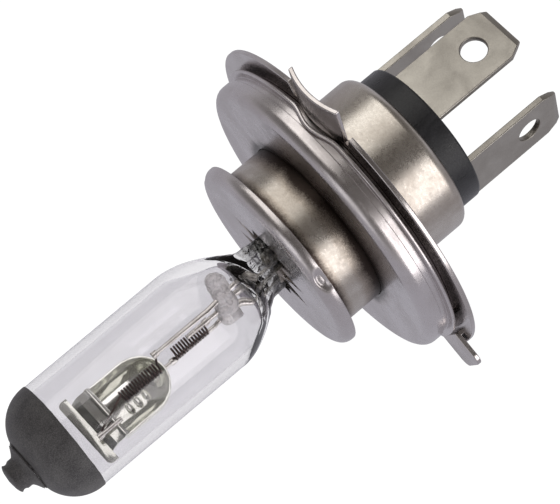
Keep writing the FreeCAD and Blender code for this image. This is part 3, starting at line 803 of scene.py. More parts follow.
class WireDrawer:
    """Round wires along paths, drawn by a Geometry Nodes tree."""

    @staticmethod
    def path_object(name: str, paths: Sequence[Sequence[Point]]) -> bpy.types.Object:
        """Mesh of edges only, one chain for each path.

        Args:
            name: name of the object.
            paths: points of each path in metres.

        Returns:
            The new object.
        """
        points: list[Point] = []
        edges: list[tuple[int, int]] = []
        for path in paths:
            start = len(points)
            points.extend(path)
            edges.extend((start + i, start + i + 1) for i in range(len(path) - 1))
        mesh = bpy.data.meshes.new(name)
        mesh.from_pydata(points, edges, [])
        return Workshop.stand(name, mesh)

    @classmethod
    def draw(cls, name: str, paths: Sequence[Sequence[Point]], radius: float, bend: float,
             finish: bpy.types.Material, sides: int = 14) -> bpy.types.Object:
        """Draw round wires.

        Args:
            name: name of the piece.
            paths: corner points of each wire in metres.
            radius: wire radius.
            bend: radius of each bend.
            finish: material of the wire.
            sides: faces round the wire.

        Returns:
            The finished piece.
        """
        works = NodeWorks(name + "_tree", {"Wire radius": radius, "Bend radius": bend, "Sides": sides})
        curve = works.node("GeometryNodeMeshToCurve", Mesh=works.start.outputs[0])
        rounded = works.node("GeometryNodeFilletCurve", Curve=curve.outputs[0],
                             Radius=works.size("Bend radius"), Limit_Radius=True)
        cls._poly_fillet(rounded)
        ring = works.node("GeometryNodeCurvePrimitiveCircle", Resolution=works.size("Sides"),
                          Radius=works.size("Wire radius"))
        skin = works.node("GeometryNodeCurveToMesh", Curve=rounded.outputs[0],
                          Profile_Curve=ring.outputs[0], Fill_Caps=True)
        return works.run(skin.outputs[0], cls.path_object(name + "_path", paths), name, finish)

    @staticmethod
    def _poly_fillet(rounded: bpy.types.Node, count: int = 8) -> None:
        """Round with several points per bend, on whichever way this version sets it."""
        if "Mode" in rounded.inputs:
            rounded.inputs["Mode"].default_value = "Poly"
        elif hasattr(rounded, "mode"):
            rounded.mode = "POLY"
        rounded.inputs["Count"].default_value = count


# ---------------------------------------------------------------------------------------------
# Sub-assemblies
# ---------------------------------------------------------------------------------------------


def smooth_step(value: float) -> float:
    """Ease from 0 to 1, level at both ends."""
    value = min(1.0, max(0.0, value))
    return value * value * value * (value * (6.0 * value - 15.0) + 10.0)


def soft_cap(value: np.ndarray, ease: float = 0.07) -> np.ndarray:
    """Follow a rising value up to 1, with a short round-off below it."""
    return 0.5 * ((value + 1.0) - np.sqrt((value - 1.0) ** 2 + ease * ease)) + 0.25 * ease * ease


def blend(low: float, high: float, share: float) -> float:
    """Value between two others."""
    return low + (high - low) * share


@dataclass
class Capsule:
    """Glass envelope and the dark coating baked on its tip. Sizes in millimetres."""

    tube_r: float = 7.1
    wall: float = 1.0
    tube_end_x: float = -42.6
    shoulder_x: float = -47.4
    shoulder_r: float = 3.6
    nipple_root_x: float = -48.5
    nipple_r: float = 1.85
    nipple_end_x: float = -50.3
    shoulder_ease: float = 0.35
    nipple_flare: float = 0.1
    nipple_waves: float = 7.0
    nipple_bluntness: float = 3.2
    press_start_x: float = -22.0
    press_end_x: float = -14.0
    press_round: float = 1.4
    press_skew: float = 0.75
    press_skew_way: tuple[float, float] = (0.895, 0.446)
    press_squareness: float = 5.0
    pinch_end_x: float = -2.8
    pinch_half_width: float = 4.8
    pinch_half_thickness: float = 1.75
    cavity_end_x: float = -15.2
    cavity_nose: float = 2.2
    cavity_squareness: float = 3.0
    cavity_corner: float = 3.8
    coating_edge_x: float = -42.3
    coating_thickness: float = 0.08
    coating_lap: float = 0.03
    crinkle: float = 0.3
    crinkle_start_x: float = -16.0
    crinkle_reach: float = 2.6
    around: int = 120
    glass: ClearGlass = field(default_factory=lambda: ClearGlass("drawn_quartz"))
    coating: BakedCoating = field(default_factory=lambda: BakedCoating("baked_tip"))

    def dome_radius(self, x: float, grow: float = 0.0) -> float:
        """Radius of the round part of the tip.

        Args:
            x: station on the axis.
            grow: offset of the surface, positive outwards.

        Returns:
            The radius at that station.
        """
        if x >= self.tube_end_x:
            return self.tube_r + grow
        depth = self.tube_end_x - self.shoulder_x
        step = self.tube_r - self.shoulder_r
        centre = (self.tube_r ** 2 - self.shoulder_r ** 2 - depth ** 2) / (2 * step)
        arc = self.tube_r - centre + grow
        ahead = self.tube_end_x - x
        dome = centre + math.sqrt(arc * arc - ahead * ahead) if ahead < arc else 0.0
        if x > self.shoulder_x - grow:
            return dome
        root = self.nipple_root_x - grow
        share = (x - root) / (self.shoulder_x - grow - root)
        if share > 0:
            upper = min(dome, self.shoulder_r + grow) if dome else self.shoulder_r
            return blend(self.nipple_r + grow, upper,
                         smooth_step(share) * self.shoulder_ease + share * (1 - self.shoulder_ease))
        tip = self.nipple_end_x - grow
        left = (x - tip) / (root - tip)
        flare = 1.0 + self.nipple_flare * math.cos(left * self.nipple_waves)
        rise = 1 - min(1.0, left * self.nipple_bluntness)
        return (self.nipple_r + grow) * min(flare, math.sqrt(max(0.0, 1 - rise ** 2)))

    def section(self, x: float, shrink: float, angles: np.ndarray) -> np.ndarray:
        """Ring of points round the glass at a station.

        Args:
            x: station on the axis.
            shrink: how far inside the outer surface the ring lies.
            angles: angle of each point.

        Returns:
            Points in millimetres.
        """
        cosine, sine = np.cos(angles), np.sin(angles)
        skewed = x + self.press_skew * (self.press_skew_way[0] * cosine + self.press_skew_way[1] * sine)
        ahead = np.clip((skewed - self.press_start_x) / (self.press_end_x - self.press_start_x), 0.0, None)
        share = soft_cap(ahead ** self.press_round)
        radius = self.tube_r - shrink if shrink else self.dome_radius(x)
        y = blend(radius, self.pinch_half_thickness - shrink * 0.6, share)
        z = blend(radius, self.pinch_half_width - shrink, share)
        power = blend(2.0, self.cavity_squareness if shrink else self.press_squareness, share)
        reach = (np.abs(cosine / y) ** power + np.abs(sine / z) ** power) ** (-1.0 / power)
        if shrink:
            into = min(1.0, max(0.0, 1.0 + (x - self.cavity_end_x) / self.cavity_nose))
            reach = reach * math.sqrt(max(0.0004, 1.0 - into ** 2.4))
        return np.stack([np.full_like(angles, x), reach * cosine, reach * sine], axis=1)

    def crumple(self, point: np.ndarray) -> np.ndarray:
        """Move a point of the pressed seal in or out, as the jaws left it."""
        share = smooth_step((point[0] - self.crinkle_start_x) / self.crinkle_reach)
        if share <= 0:
            return point
        spot = Vector(point)
        fold = noise.noise(Vector((spot.x * 0.55, spot.y * 0.7, spot.z * 0.7)))
        fine = noise.noise(Vector((spot.x * 1.7 + 9.0, spot.y * 1.5, spot.z * 1.6)))
        push = self.crinkle * share * (0.9 * fold + 0.55 * fine)
        return point * np.array([1.0, 1.0 + push / 3.0, 1.0 + push / 5.5])

    def build(self) -> list[bpy.types.Object]:
        """Build the glass and its coating.

        Returns:
            The finished pieces.
        """
        return [self.build_glass(), self.build_coating()]

    def build_glass(self) -> bpy.types.Object:
        """Outer skin and gas space of the envelope."""
        angles = np.linspace(0, 2 * math.pi, self.around, endpoint=False)
        tip = np.linspace(self.nipple_end_x + 0.01, self.tube_end_x, 46, endpoint=False)
        tube = np.linspace(self.tube_end_x, self.press_start_x - 1.0, 24, endpoint=False)
        seal = np.linspace(self.press_start_x - 1.0, self.pinch_end_x, 130)
        outer = np.array([self.section(x, 0.0, angles) for x in (*tip, *tube, *seal)])
        shape = outer.shape
        outer = np.array([self.crumple(p) for p in outer.reshape(-1, 3)]).reshape(shape)
        points, faces = Workshop.tube_grid(outer)
        front = self.shoulder_x + self.wall
        corner = self.cavity_corner
        nose = [front + corner * (1 - math.cos(a)) for a in np.linspace(0.06, math.pi / 2, 14)]
        rings = []
        for x in nose:
            ahead = corner - (x - front)
            ring = self.section(x, self.wall, angles)
            limit = self.tube_r - self.wall - corner + math.sqrt(max(0.0, corner ** 2 - ahead ** 2))
            ring[:, 1:] *= limit / (self.tube_r - self.wall)
            rings.append(ring)
        for x in np.linspace(nose[-1], self.cavity_end_x, 120)[1:]:
            rings.append(self.section(x, self.wall, angles))
        inner_points, inner_faces = Workshop.tube_grid(np.array(rings), flip=True)
        offset = len(points)
        faces += [[i + offset for i in face] for face in inner_faces]
        made = Workshop.piece("quartz_envelope", np.vstack([points, inner_points]) * MM, faces)
        made.visible_shadow = False
        return Workshop.dress(made, self.glass.make(), Slot.QUARTZ, ["glass_envelope"])

    def build_coating(self) -> bpy.types.Object:
        """Thin cap over the dome with a slightly uneven edge."""
        angles = np.linspace(0, 2 * math.pi, 180, endpoint=False)
        edge = np.full_like(angles, self.coating_edge_x)
        for height, pace, shift in ((0.1, 1.4, 0.0), (0.035, 9.0, 4.0)):
            edge += [height * noise.noise(Vector((math.cos(a) * pace, math.sin(a) * pace, shift)))
                     for a in angles]
        rings = []
        for grow, order in ((self.coating_thickness, 1), (-self.coating_lap, -1)):
            tip = self.nipple_end_x - grow
            shares = np.concatenate([np.linspace(0.0, 0.3, 26)[:-1], np.linspace(0.3, 1.0, 44)])
            for share in shares[::order]:
                x = tip + 0.004 + (edge - tip) * share
                radius = np.array([max(0.002, self.dome_radius(float(v), grow)) for v in x])
                rings.append(np.stack([x, radius * np.cos(angles), radius * np.sin(angles)], axis=1))
        points, faces = Workshop.tube_grid(np.array(rings))
        made = Workshop.piece("baked_tip_coating", points * MM, faces)
        return Workshop.dress(made, self.coating.make(), Slot.COATING, ["tip_coating"])


@dataclass
class Burner:
    """Filaments, leads, bead and low-beam shield inside the capsule. Sizes in millimetres."""

    mount_y: float = -0.5
    lead_r: float = 0.28
    low_lead_z: float = 2.0
    high_lead_z: float = 0.1
    common_lead_z: float = -2.3
    lead_start_x: float = -12.0
    bead_x: float = -18.5
    bead_z: float = 0.5
    bead_r: float = 1.35
    bead_half: float = 3.8
    bead_lean: float = 1.9
    coil_r: float = 0.72
    coil_wire_r: float = 0.132
    coil_pitch: float = 0.38
    filament_z: float = -1.1
    high_start_x: float = -22.2
    high_turns: float = 12.5
    low_start_x: float = -29.2
    low_turns: float = 14.0
    post_y: float = -2.6
    post_z: float = -0.77
    post_root_x: float = -36.2
    post_tip_x: float = -39.6
    post_r: float = 0.3
    rim_z: float = -1.45
    bowl_r: float = 3.9
    rib_stations: tuple[float, ...] = (-34.3, -33.1, -31.9)
    rib_lean: float = 2.0
    tungsten: PlatedMetal = field(default_factory=lambda: PlatedMetal(
        "sintered_tungsten", (0.15, 0.108, 0.10), (0.07, 0.05, 0.047), rough=0.45, rough_spread=0.1,
        grain_scale=12.0, grain_depth=0.004 * MM, cloud_scale=1.2, cloud_share=0.8))
    bright_wire: PlatedMetal = field(default_factory=lambda: PlatedMetal(
        "drawn_molybdenum", (0.86, 0.84, 0.79), (0.55, 0.51, 0.46), rough=0.22,
        grain=Grain.ALONG_THE_AXIS, grain_scale=7.0, grain_depth=0.002 * MM, cloud_scale=0.5,
        cloud_share=0.6, metal=0.8))
    sheet: PlatedMetal = field(default_factory=lambda: PlatedMetal(
        "pressed_shield_sheet", (0.97, 0.98, 0.91), (0.80, 0.80, 0.72), rough=0.09, rough_spread=0.04,
        grain_scale=3.0, grain_depth=0.003 * MM, cloud_scale=0.4, cloud_share=0.6, metal=0.85))
    bead_glass: MilkyGlass = field(default_factory=lambda: MilkyGlass("fused_bead"))

    def at(self, x: float, z: float, y: float | None = None) -> Point:
        """Point in metres, in the plane of the leads unless y is given."""
        return (x * MM, (self.mount_y if y is None else y) * MM, z * MM)

    def build(self) -> list[bpy.types.Object]:
        """Build everything inside the glass.

        Returns:
            The finished pieces.
        """
        wire = self.bright_wire.make()
        hot = self.tungsten.make()
        pieces = [
            self.coil("high_beam_coil", self.high_start_x, self.high_turns,
                      (self.high_start_x + 0.35, self.mount_y, self.high_lead_z - self.lead_r),
                      (self.high_start_x - self.high_turns * self.coil_pitch - 0.35, self.mount_y,
                       self.common_lead_z + self.lead_r), hot, ["high_beam_filament"]),
            self.coil("low_beam_coil", self.low_start_x, self.low_turns,
                      (self.low_start_x + 0.35, self.mount_y, self.low_lead_z - self.lead_r),
                      (self.post_tip_x + 0.35, self.post_y + 0.25, self.post_z), hot,
                      ["low_beam_filament"]),
            self.lead("low_beam_lead_wire", self.low_lead_z, self.low_start_x, self.low_lead_z, wire,
                      ["low_beam_lead"]),
            self.lead("high_beam_lead_wire", 0.0, self.high_start_x - 2.4, self.high_lead_z, wire,
                      ["high_beam_lead"]),
            self.lead("common_lead_wire", -2.0, -28.6, self.common_lead_z, wire, ["common_lead"]),
            self.bead(), self.shield(), self.post(wire)]
        for node in ("filament_crimps", "foil_low", "foil_high", "foil_common", "outer_lead_low",
                     "outer_lead_high", "outer_lead_common"):
            pieces.append(Workshop.coat_node(node, wire))
        return pieces

    def coil(self, name: str, start_x: float, turns: float, rear: Point, front: Point,
             finish: bpy.types.Material, nodes: Sequence[str]) -> bpy.types.Object:
        """Helical filament with its two straight legs.

        Args:
            name: name of the piece.
            start_x: where the coil starts, nearest the base.
            turns: number of turns.
            rear: anchor of the leg nearest the base.
            front: anchor of the other leg.
            finish: material of the wire.
            nodes: CAD nodes it stands for.

        Returns:
            The finished piece.
        """
        sizes = {"Turns": turns, "Coil radius": self.coil_r * MM,
                 "Coil length": turns * self.coil_pitch * MM,
                 "Wire radius": self.coil_wire_r * MM, "Steps per turn": 26, "Start": start_x * MM,
                 "Side": self.mount_y * MM, "Height": self.filament_z * MM}
        works = NodeWorks(name + "_tree", sizes)
        helix = works.node("GeometryNodeCurveSpiral", Resolution=works.size("Steps per turn"),
                           Rotations=works.size("Turns"), Start_Radius=works.size("Coil radius"),
                           End_Radius=works.size("Coil radius"), Height=works.size("Coil length"))
        spot = works.node("ShaderNodeCombineXYZ", X=works.size("Start"), Y=works.size("Side"),
                          Z=works.size("Height"))
        turned = works.node("GeometryNodeTransform", Geometry=helix.outputs[0],
                            Translation=spot.outputs[0], Rotation=Euler((0.0, -math.pi / 2, 0.0)))
        ring = works.node("GeometryNodeCurvePrimitiveCircle", Resolution=9, Radius=works.size("Wire radius"))
        skin = works.node("GeometryNodeCurveToMesh", Curve=turned.outputs[0],
                          Profile_Curve=ring.outputs[0], Fill_Caps=True)
        base = WireDrawer.path_object(name + "_base", [])
        spring = works.run(skin.outputs[0], base, name + "_spring", finish)
        end = math.cos(2 * math.pi * turns)
        first = self.at(start_x, self.filament_z + self.coil_r)
        last = self.at(start_x - turns * self.coil_pitch, self.filament_z + self.coil_r * end)
        legs = WireDrawer.draw(name + "_legs", [
            [first, tuple(v * MM for v in rear)], [last, tuple(v * MM for v in front)]],
            self.coil_wire_r * MM, 0.1 * MM, finish, 10)
        return Workshop.dress(Workshop.join(name, [spring, legs]), finish, Slot.TUNGSTEN, nodes)

    def lead(self, name: str, row_z: float, end_x: float, end_z: float, finish: bpy.types.Material,
             nodes: Sequence[str]) -> bpy.types.Object:
        """Stiff lead from its foil through the bead."""
        bend = self.bead_x - self.bead_r - self.lead_r
        path = [self.at(self.lead_start_x, row_z), self.at(bend, row_z), self.at(bend - 0.8, end_z),
                self.at(end_x, end_z)]
        made = WireDrawer.draw(name, [path], self.lead_r * MM, 0.6 * MM, finish, 18)
        return Workshop.dress(made, finish, Slot.MOLYBDENUM, nodes)

    def post(self, finish: bpy.types.Material) -> bpy.types.Object:
        """Stub on the shield's ridge that carries a leg of the low-beam coil."""
        path = [self.at(x, self.post_z, self.post_y) for x in (self.post_root_x, self.post_tip_x)]
        made = WireDrawer.draw("shield_post_wire", [path], self.post_r * MM, 0.1 * MM, finish, 18)
        return Workshop.dress(made, finish, Slot.MOLYBDENUM, ["shield_post"])

    def bead(self) -> bpy.types.Object:
        """Lumpy glass bar fused across the leads, with a drawn-off knob on top."""
        angles = np.linspace(0, 2 * math.pi, 56, endpoint=False)
        rings = []
        for share in np.linspace(0.0, 1.0, 72):
            height = blend(-self.bead_half, self.bead_half, share)
            round_end = math.sqrt(max(0.0, 1.0 - abs(2 * share - 1) ** 5))
            ridges = 0.035 * math.cos(height * 11.0) + 0.1 * math.cos(height * 2.4 + 0.6)
            waist = 0.86 + ridges - 0.1 * smooth_step((height - 1.4) / 1.8)
            radius = self.bead_r * max(0.02, round_end) * waist
            ring = []
            lean = self.bead_lean * smooth_step((height - 0.6) / 2.8)
            for angle in angles:
                lump = noise.noise(Vector((math.cos(angle), math.sin(angle), height * 0.7)))
                reach = radius * (1 + 0.13 * lump)
                ring.append((self.bead_x + reach * math.cos(angle),
                             self.mount_y + lean + reach * math.sin(angle), self.bead_z + height))
            rings.append(ring)
        points, faces = Workshop.tube_grid(np.array(rings))
        made = Workshop.piece("lead_bridge_bead", points * MM, faces)
        Workshop.turn_outwards(made)
        return Workshop.dress(made, self.bead_glass.make(), Slot.BEAD, ["bridge_bead"])

    def shield(self) -> bpy.types.Object:
        """Pressed shield with three oval stiffening ribs on its floor."""
        finish = self.sheet.make()
        body = Workshop.eased_copy("low_beam_shield", "shield_sheet", 0.05 * MM)
        ribs = self.ribs(finish)
        return Workshop.dress(Workshop.join("pressed_low_beam_shield", [body, ribs]), finish, Slot.SHIELD,
                              ["low_beam_shield"])

    def ribs(self, finish: bpy.types.Material) -> bpy.types.Object:
        """Oval ribs, one at each station, laid on the bowl's inner face."""
        lean = math.radians(self.rib_lean)
        inner = self.bowl_r - 0.22
        stations = [(x * MM, (self.mount_y + inner * math.sin(lean)) * MM,
                     (self.rim_z - inner * math.cos(lean)) * MM) for x in self.rib_stations]
        mesh = bpy.data.meshes.new("rib_stations")
        mesh.from_pydata(stations, [], [])
        base = Workshop.stand("rib_stations", mesh)
        works = NodeWorks("shield_rib_tree", {"Rib radius": 0.5 * MM, "Rib half length": 2.0,
                                              "Rib depth": 0.7, "Lean": lean})
        dome = works.node("GeometryNodeMeshUVSphere", Segments=28, Rings=16,
                          Radius=works.size("Rib radius"))
        spread = works.node("ShaderNodeCombineXYZ", X=0.85, Y=works.size("Rib half length"),
                            Z=works.size("Rib depth"))
        turn = works.node("ShaderNodeCombineXYZ", X=works.size("Lean"), Y=0.0, Z=0.0)
        placed = works.node("GeometryNodeInstanceOnPoints", Points=works.start.outputs[0],
                            Instance=dome.outputs[0], Rotation=turn.outputs[0], Scale=spread.outputs[0])
        return works.run(placed.outputs[0], base, "shield_ribs", finish)


@dataclass
class Base:
    """Seal cup, sleeve, seat cup, lug flange and the clip behind the seal. Sizes in millimetres."""

    edge: float = 0.1
    sleeve_r: float = 10.75
    sleeve_wall: float = 0.4
    sleeve_front_x: float = -10.95
    sleeve_rear_x: float = 9.3
    roll_r: float = 1.2
    roll_lip_r: float = 9.4
    bore_r: float = 10.78
    seat_r: float = 19.0
    seat_face_x: float = -4.2
    seat_corner: float = 1.3
    seat_wall: float = 0.6
    band_end_x: float = -1.95
    step_r: float = 18.75
    lip_r: float = 19.6
    lip_front_x: float = -1.1
    lip_rear_x: float = -0.65
    heel_r: float = 18.2
    flange_r: float = 21.5
    flange_thickness: float = 0.6
    sheet_ease: float = 0.13
    lug_half: float = 4.0
    lug_bow: float = 0.8
    lug_root_r: float = 19.2
    lug_reach: float = 25.2
    notch_turn: float = 14.0
    side_half: float = 3.0
    side_root: float = 19.7
    side_reach: float = 24.3
    side_corner: float = 1.2
    side_front_x: float = -0.8
    seal_cup_r: float = 12.7
    seal_cup_wall: float = 0.45
    seal_face_x: float = -11.4
    seal_rear_x: float = -9.7
    seal_corner: float = 1.3
    dent_turns: tuple[float, ...] = (-51.0, 69.0, -171.0)
    dent_x: float = -10.35
    dent_half: float = 1.9
    dent_rise: float = 0.95
    dent_depth: float = 0.5
    opening_half: tuple[float, float] = (2.17, 5.22)
    slit_pitch: float = 2.743
    slit_half: float = 1.05
    slit_reach: float = 5.8
    slit_fan: float = 1.25
    # Painted shade on the sleeve: darker next to the seat cup's face and next to the seal cup's rear.
    sleeve: PlatedMetal = field(default_factory=lambda: PlatedMetal(
        "sleeve_nickel", (0.64, 0.60, 0.55), (0.42, 0.37, 0.32), rough=0.3, rough_spread=0.06,
        grain=Grain.ROUND_THE_AXIS, grain_scale=3.2, cloud_scale=0.14, cloud_share=0.75, aniso=0.3,
        painted_shade=((-4.2, 10.75, 2.6), (-9.7, 10.75, 1.6))))
    # Painted shade on the cup finish: darker round the sleeve on the seat cup's face, and in the groove
    # between its lip and the flange.
    cup: PlatedMetal = field(default_factory=lambda: PlatedMetal(
        "cup_nickel", (0.66, 0.625, 0.63), (0.52, 0.48, 0.47), rough=0.28, rough_spread=0.05,
        grain=Grain.ROUND_THE_AXIS, grain_scale=3.0, grain_depth=0.001 * MM, cloud_scale=0.12,
        cloud_share=0.6, aniso=0.3, painted_shade=((-4.2, 10.75, 1.9), (-0.4, 18.4, 0.6))))
    # Painted shade in the groove between the seat cup's lip and the flange, in a red-brown shade colour. It
    # also darkens the flange's rear face round the same circle, where nothing sits.
    flange: PlatedMetal = field(default_factory=lambda: PlatedMetal(
        "flange_nickel", (0.63, 0.595, 0.59), (0.45, 0.41, 0.39), rough=0.22, rough_spread=0.05,
        grain_scale=5.0, grain_depth=0.0014 * MM, cloud_scale=0.12, cloud_share=0.6,
        painted_shade=((0.0, 18.5, 1.15),), dark_tone_and_shade=(0.10, 0.05, 0.042)))
    spring: PlatedMetal = field(default_factory=lambda: PlatedMetal(
        "spring_strip", (0.58, 0.55, 0.50), (0.36, 0.32, 0.28), rough=0.25, grain=Grain.ALONG_THE_AXIS,
        grain_scale=8.0, grain_depth=0.003 * MM, cloud_scale=0.4, cloud_share=0.7))

    def build(self) -> list[bpy.types.Object]:
        """Build the metal base.

        Returns:
            The finished pieces.
        """
        cup = self.cup.make()
        return [
            Workshop.dress(self.seal_cup(), cup, Slot.CUP, ["pinch_cup"]),
            Workshop.dress(self.seat_cup(), cup, Slot.CUP, ["seat_cup"]),
            Workshop.dress(self.drawn_sleeve(), self.sleeve.make(), Slot.SLEEVE, ["base_shell"]),
            Workshop.dress(self.lug_flange(), self.flange.make(), Slot.FLANGE, ["lug_flange"]),
            Workshop.coat_node("pinch_clip", self.spring.make()),
        ]

    def drawn_sleeve(self) -> bpy.types.Object:
        """Sleeve, open in front and rolled in behind."""
        bore = self.sleeve_r - self.sleeve_wall
        inner_end = self.sleeve_rear_x - self.sleeve_wall
        outline = Workshop.rounded([
            (self.sleeve_front_x, bore, 0), (self.sleeve_front_x, self.sleeve_r, 0),
            (self.sleeve_rear_x, self.sleeve_r, self.roll_r), (self.sleeve_rear_x, self.roll_lip_r, 0),
            (inner_end, self.roll_lip_r, 0), (inner_end, bore, self.roll_r - self.sleeve_wall)], steps=8)
        return Workshop.turned("drawn_base_sleeve", outline)

    def bow(self, y: float) -> float:
        """Share of the lug's bow at a distance from its middle."""
        return 0.5 * (1 + math.cos(math.pi * y / self.lug_half)) if abs(y) < self.lug_half else 0.0

    def lip_push(self, x: float, y: float, z: float) -> tuple[float, float]:
        """Shift of the seat cup's lip, which follows the bow of the top lug."""
        inside = self.lip_front_x - 0.2 < x < self.lip_rear_x + self.edge
        return (-self.lug_bow * self.bow(y), 0.0) if z > 0 and inside else (0.0, 0.0)

    def dent_push(self, x: float, y: float, z: float) -> tuple[float, float]:
        """Shift of the seal cup's rim in its three oval weld dents."""
        radius = math.hypot(y, z)
        if radius < self.seal_cup_r - 1.4:
            return 0.0, 0.0
        deep = 0.0
        for middle in self.dent_turns:
            apart = (math.degrees(math.atan2(y, z)) - middle + 180) % 360 - 180
            around = math.radians(apart) * radius / self.dent_half
            along = (x - self.dent_x) / self.dent_rise
            deep += 0.5 * (1 + math.cos(math.pi * min(1.0, math.hypot(around, along))))
        return 0.0, -self.dent_depth * min(1.0, 1.5 * deep)

    def seal_cup(self) -> bpy.types.Object:
        """Shallow cup with a rounded rim, weld dents and the clawed opening."""
        face_x, wall = self.seal_face_x, self.seal_cup_wall
        rear = self.seal_rear_x
        outline = Workshop.rounded([
            (face_x, 0.02, 0.002), (face_x, self.seal_cup_r, self.seal_corner),
            (rear, self.seal_cup_r, 0.12), (rear, self.seal_cup_r - wall, 0.12),
            (face_x + wall, self.seal_cup_r - wall, self.seal_corner - wall), (face_x + wall, 0.02, 0.002)],
            ease=0.002, steps=14, hug=0.006)
        cup = Workshop.turned("front_seal_cup", outline, 360, self.dent_push)
        edge: list[tuple[float, float]] = []
        for side in (1, -1):
            half_y, half_z = self.opening_half
            edge.append((side * half_y, -side * half_z))
            for index in (-1, 0, 1):
                middle = side * index * self.slit_pitch
                edge += [(side * half_y, middle - side * self.slit_half),
                         (side * self.slit_reach, middle * self.slit_fan),
                         (side * half_y, middle + side * self.slit_half)]
            edge.append((side * half_y, side * half_z))
        sections = [[(x, y, z) for y, z in edge] for x in (face_x - 1, face_x + 1)]
        cutter = Workshop.stacked("claw_cutter", sections)
        cutter.data.polygons.foreach_set("use_smooth", [False] * len(cutter.data.polygons))
        cut = cup.modifiers.new("opening", "BOOLEAN")
        cut.operation = "DIFFERENCE"
        cut.solver = "EXACT"
        cut.object = cutter
        plain = Workshop.settle(cup, "front_seal_cup")
        bpy.data.objects.remove(cutter)
        Workshop.flatten(plain)
        return plain

    def seat_cup(self) -> bpy.types.Object:
        """Stepped collar with its out-turned lip."""
        inner = self.step_r - self.seat_wall
        heel_inner = self.heel_r - self.seat_wall
        floor_x = self.seat_face_x + self.seat_wall
        heel_x = self.lip_rear_x - self.seat_wall
        outline = Workshop.rounded([
            (self.seat_face_x, self.bore_r, 0), (self.seat_face_x, self.seat_r, self.seat_corner),
            (self.band_end_x, self.seat_r, 0), (self.band_end_x, self.step_r, 0),
            (self.lip_front_x, self.step_r, 0), (self.lip_front_x, self.lip_r, 0.16),
            (self.lip_rear_x, self.lip_r, 0.16), (self.lip_rear_x, self.heel_r, 0),
            (0, self.heel_r, 0), (0, heel_inner, 0), (heel_x, heel_inner, 0), (heel_x, inner, 0),
            (floor_x, inner, self.seat_corner - self.seat_wall), (floor_x, self.bore_r, 0)],
            ease=0.07, steps=6, hug=0.03)
        return Workshop.turned("stepped_seat_cup", outline, 420, self.lip_push)

    def lug_flange(self) -> bpy.types.Object:
        """Flat ring, bowed top lug and two side lugs."""
        parts = [self.flange_ring(), self.top_lug()]
        for turn in (-120.0, 120.0):
            for made in self.side_lug():
                made.data.transform(Matrix.Rotation(math.radians(turn), 4, "X"))
                parts.append(made)
        return Workshop.join("three_lug_flange", parts)

    def flange_ring(self) -> bpy.types.Object:
        """Ring with a relief notch on both sides of the top lug."""
        edge = self.notch_turn
        turns = [-edge - 0.2, -edge, -edge + 0.15, -edge + 0.35, *np.linspace(-edge + 1, edge - 1, 25),
                 edge - 0.35, edge - 0.15, edge, edge + 0.2, *np.linspace(edge + 1, 359 - edge, 320)]
        columns = []
        for turn in turns:
            reach = self.lug_root_r if abs(turn) < edge - 0.1 else self.flange_r
            outline = Workshop.rounded([
                (0, self.bore_r, 0), (0, reach, 0), (self.flange_thickness, reach, 0),
                (self.flange_thickness, self.bore_r, 0)], ease=self.sheet_ease)
            angle = math.radians(turn)
            columns.append([(x, r * math.sin(angle), r * math.cos(angle)) for x, r in outline])
        return Workshop.ring_mesh("flange_ring", np.array(columns))

    def top_lug(self) -> bpy.types.Object:
        """Wide lug, bowed towards the glass."""
        ease = self.sheet_ease
        stations = [(side * (self.lug_half - ease * (1 - math.cos(a))), ease * (1 - math.sin(a)))
                    for side in (-1, 1) for a in np.linspace(0, math.pi / 2, 5)]
        stations += [(y, 0.0) for y in np.linspace(-self.lug_half + 0.3, self.lug_half - 0.3, 60)]
        sections = []
        for y, inset in sorted(stations):
            root = math.sqrt(self.lug_root_r ** 2 - y * y) - 0.1
            front = -self.lug_bow * (1 - (y / self.lug_half) ** 2)
            outline = Workshop.rounded([
                (front + inset, root, 0), (front + inset, self.lug_reach - inset, 0),
                (front + self.flange_thickness - inset, self.lug_reach - inset, 0),
                (front + self.flange_thickness - inset, root, 0)], ease=ease - 0.6 * inset)
            sections.append([(x, y, z) for x, z in outline])
        return Workshop.stacked("top_lug", sections)

    def side_lug(self) -> list[bpy.types.Object]:
        """Tongue and riser of one flat side lug, standing at the top before it is turned."""
        made = []
        for name, front, rear, reach, corner in (
                ("side_tongue", self.side_front_x, self.side_front_x + self.flange_thickness,
                 self.side_reach, self.side_corner),
                ("side_riser", self.side_front_x + 0.1, self.flange_thickness - 0.02,
                 self.side_root + self.flange_thickness, 0.1)):
            ease = 0.12
            stations = [(x + way * ease * (1 - math.cos(a)), ease * (1 - math.sin(a)))
                        for x, way in ((front, 1), (rear, -1)) for a in np.linspace(0, math.pi / 2, 5)]
            stations += [(front + 0.18, 0.0), (rear - 0.18, 0.0)]
            sections = []
            for x, inset in sorted(stations):
                half = self.side_half - inset
                outline = Workshop.rounded([
                    (-half, self.side_root + inset, 0), (half, self.side_root + inset, 0),
                    (half, reach - inset, corner - inset * 0.5),
                    (-half, reach - inset, corner - inset * 0.5)])
                sections.append([(x, y, z) for y, z in outline])
            made.append(Workshop.stacked(name, sections))
        return made


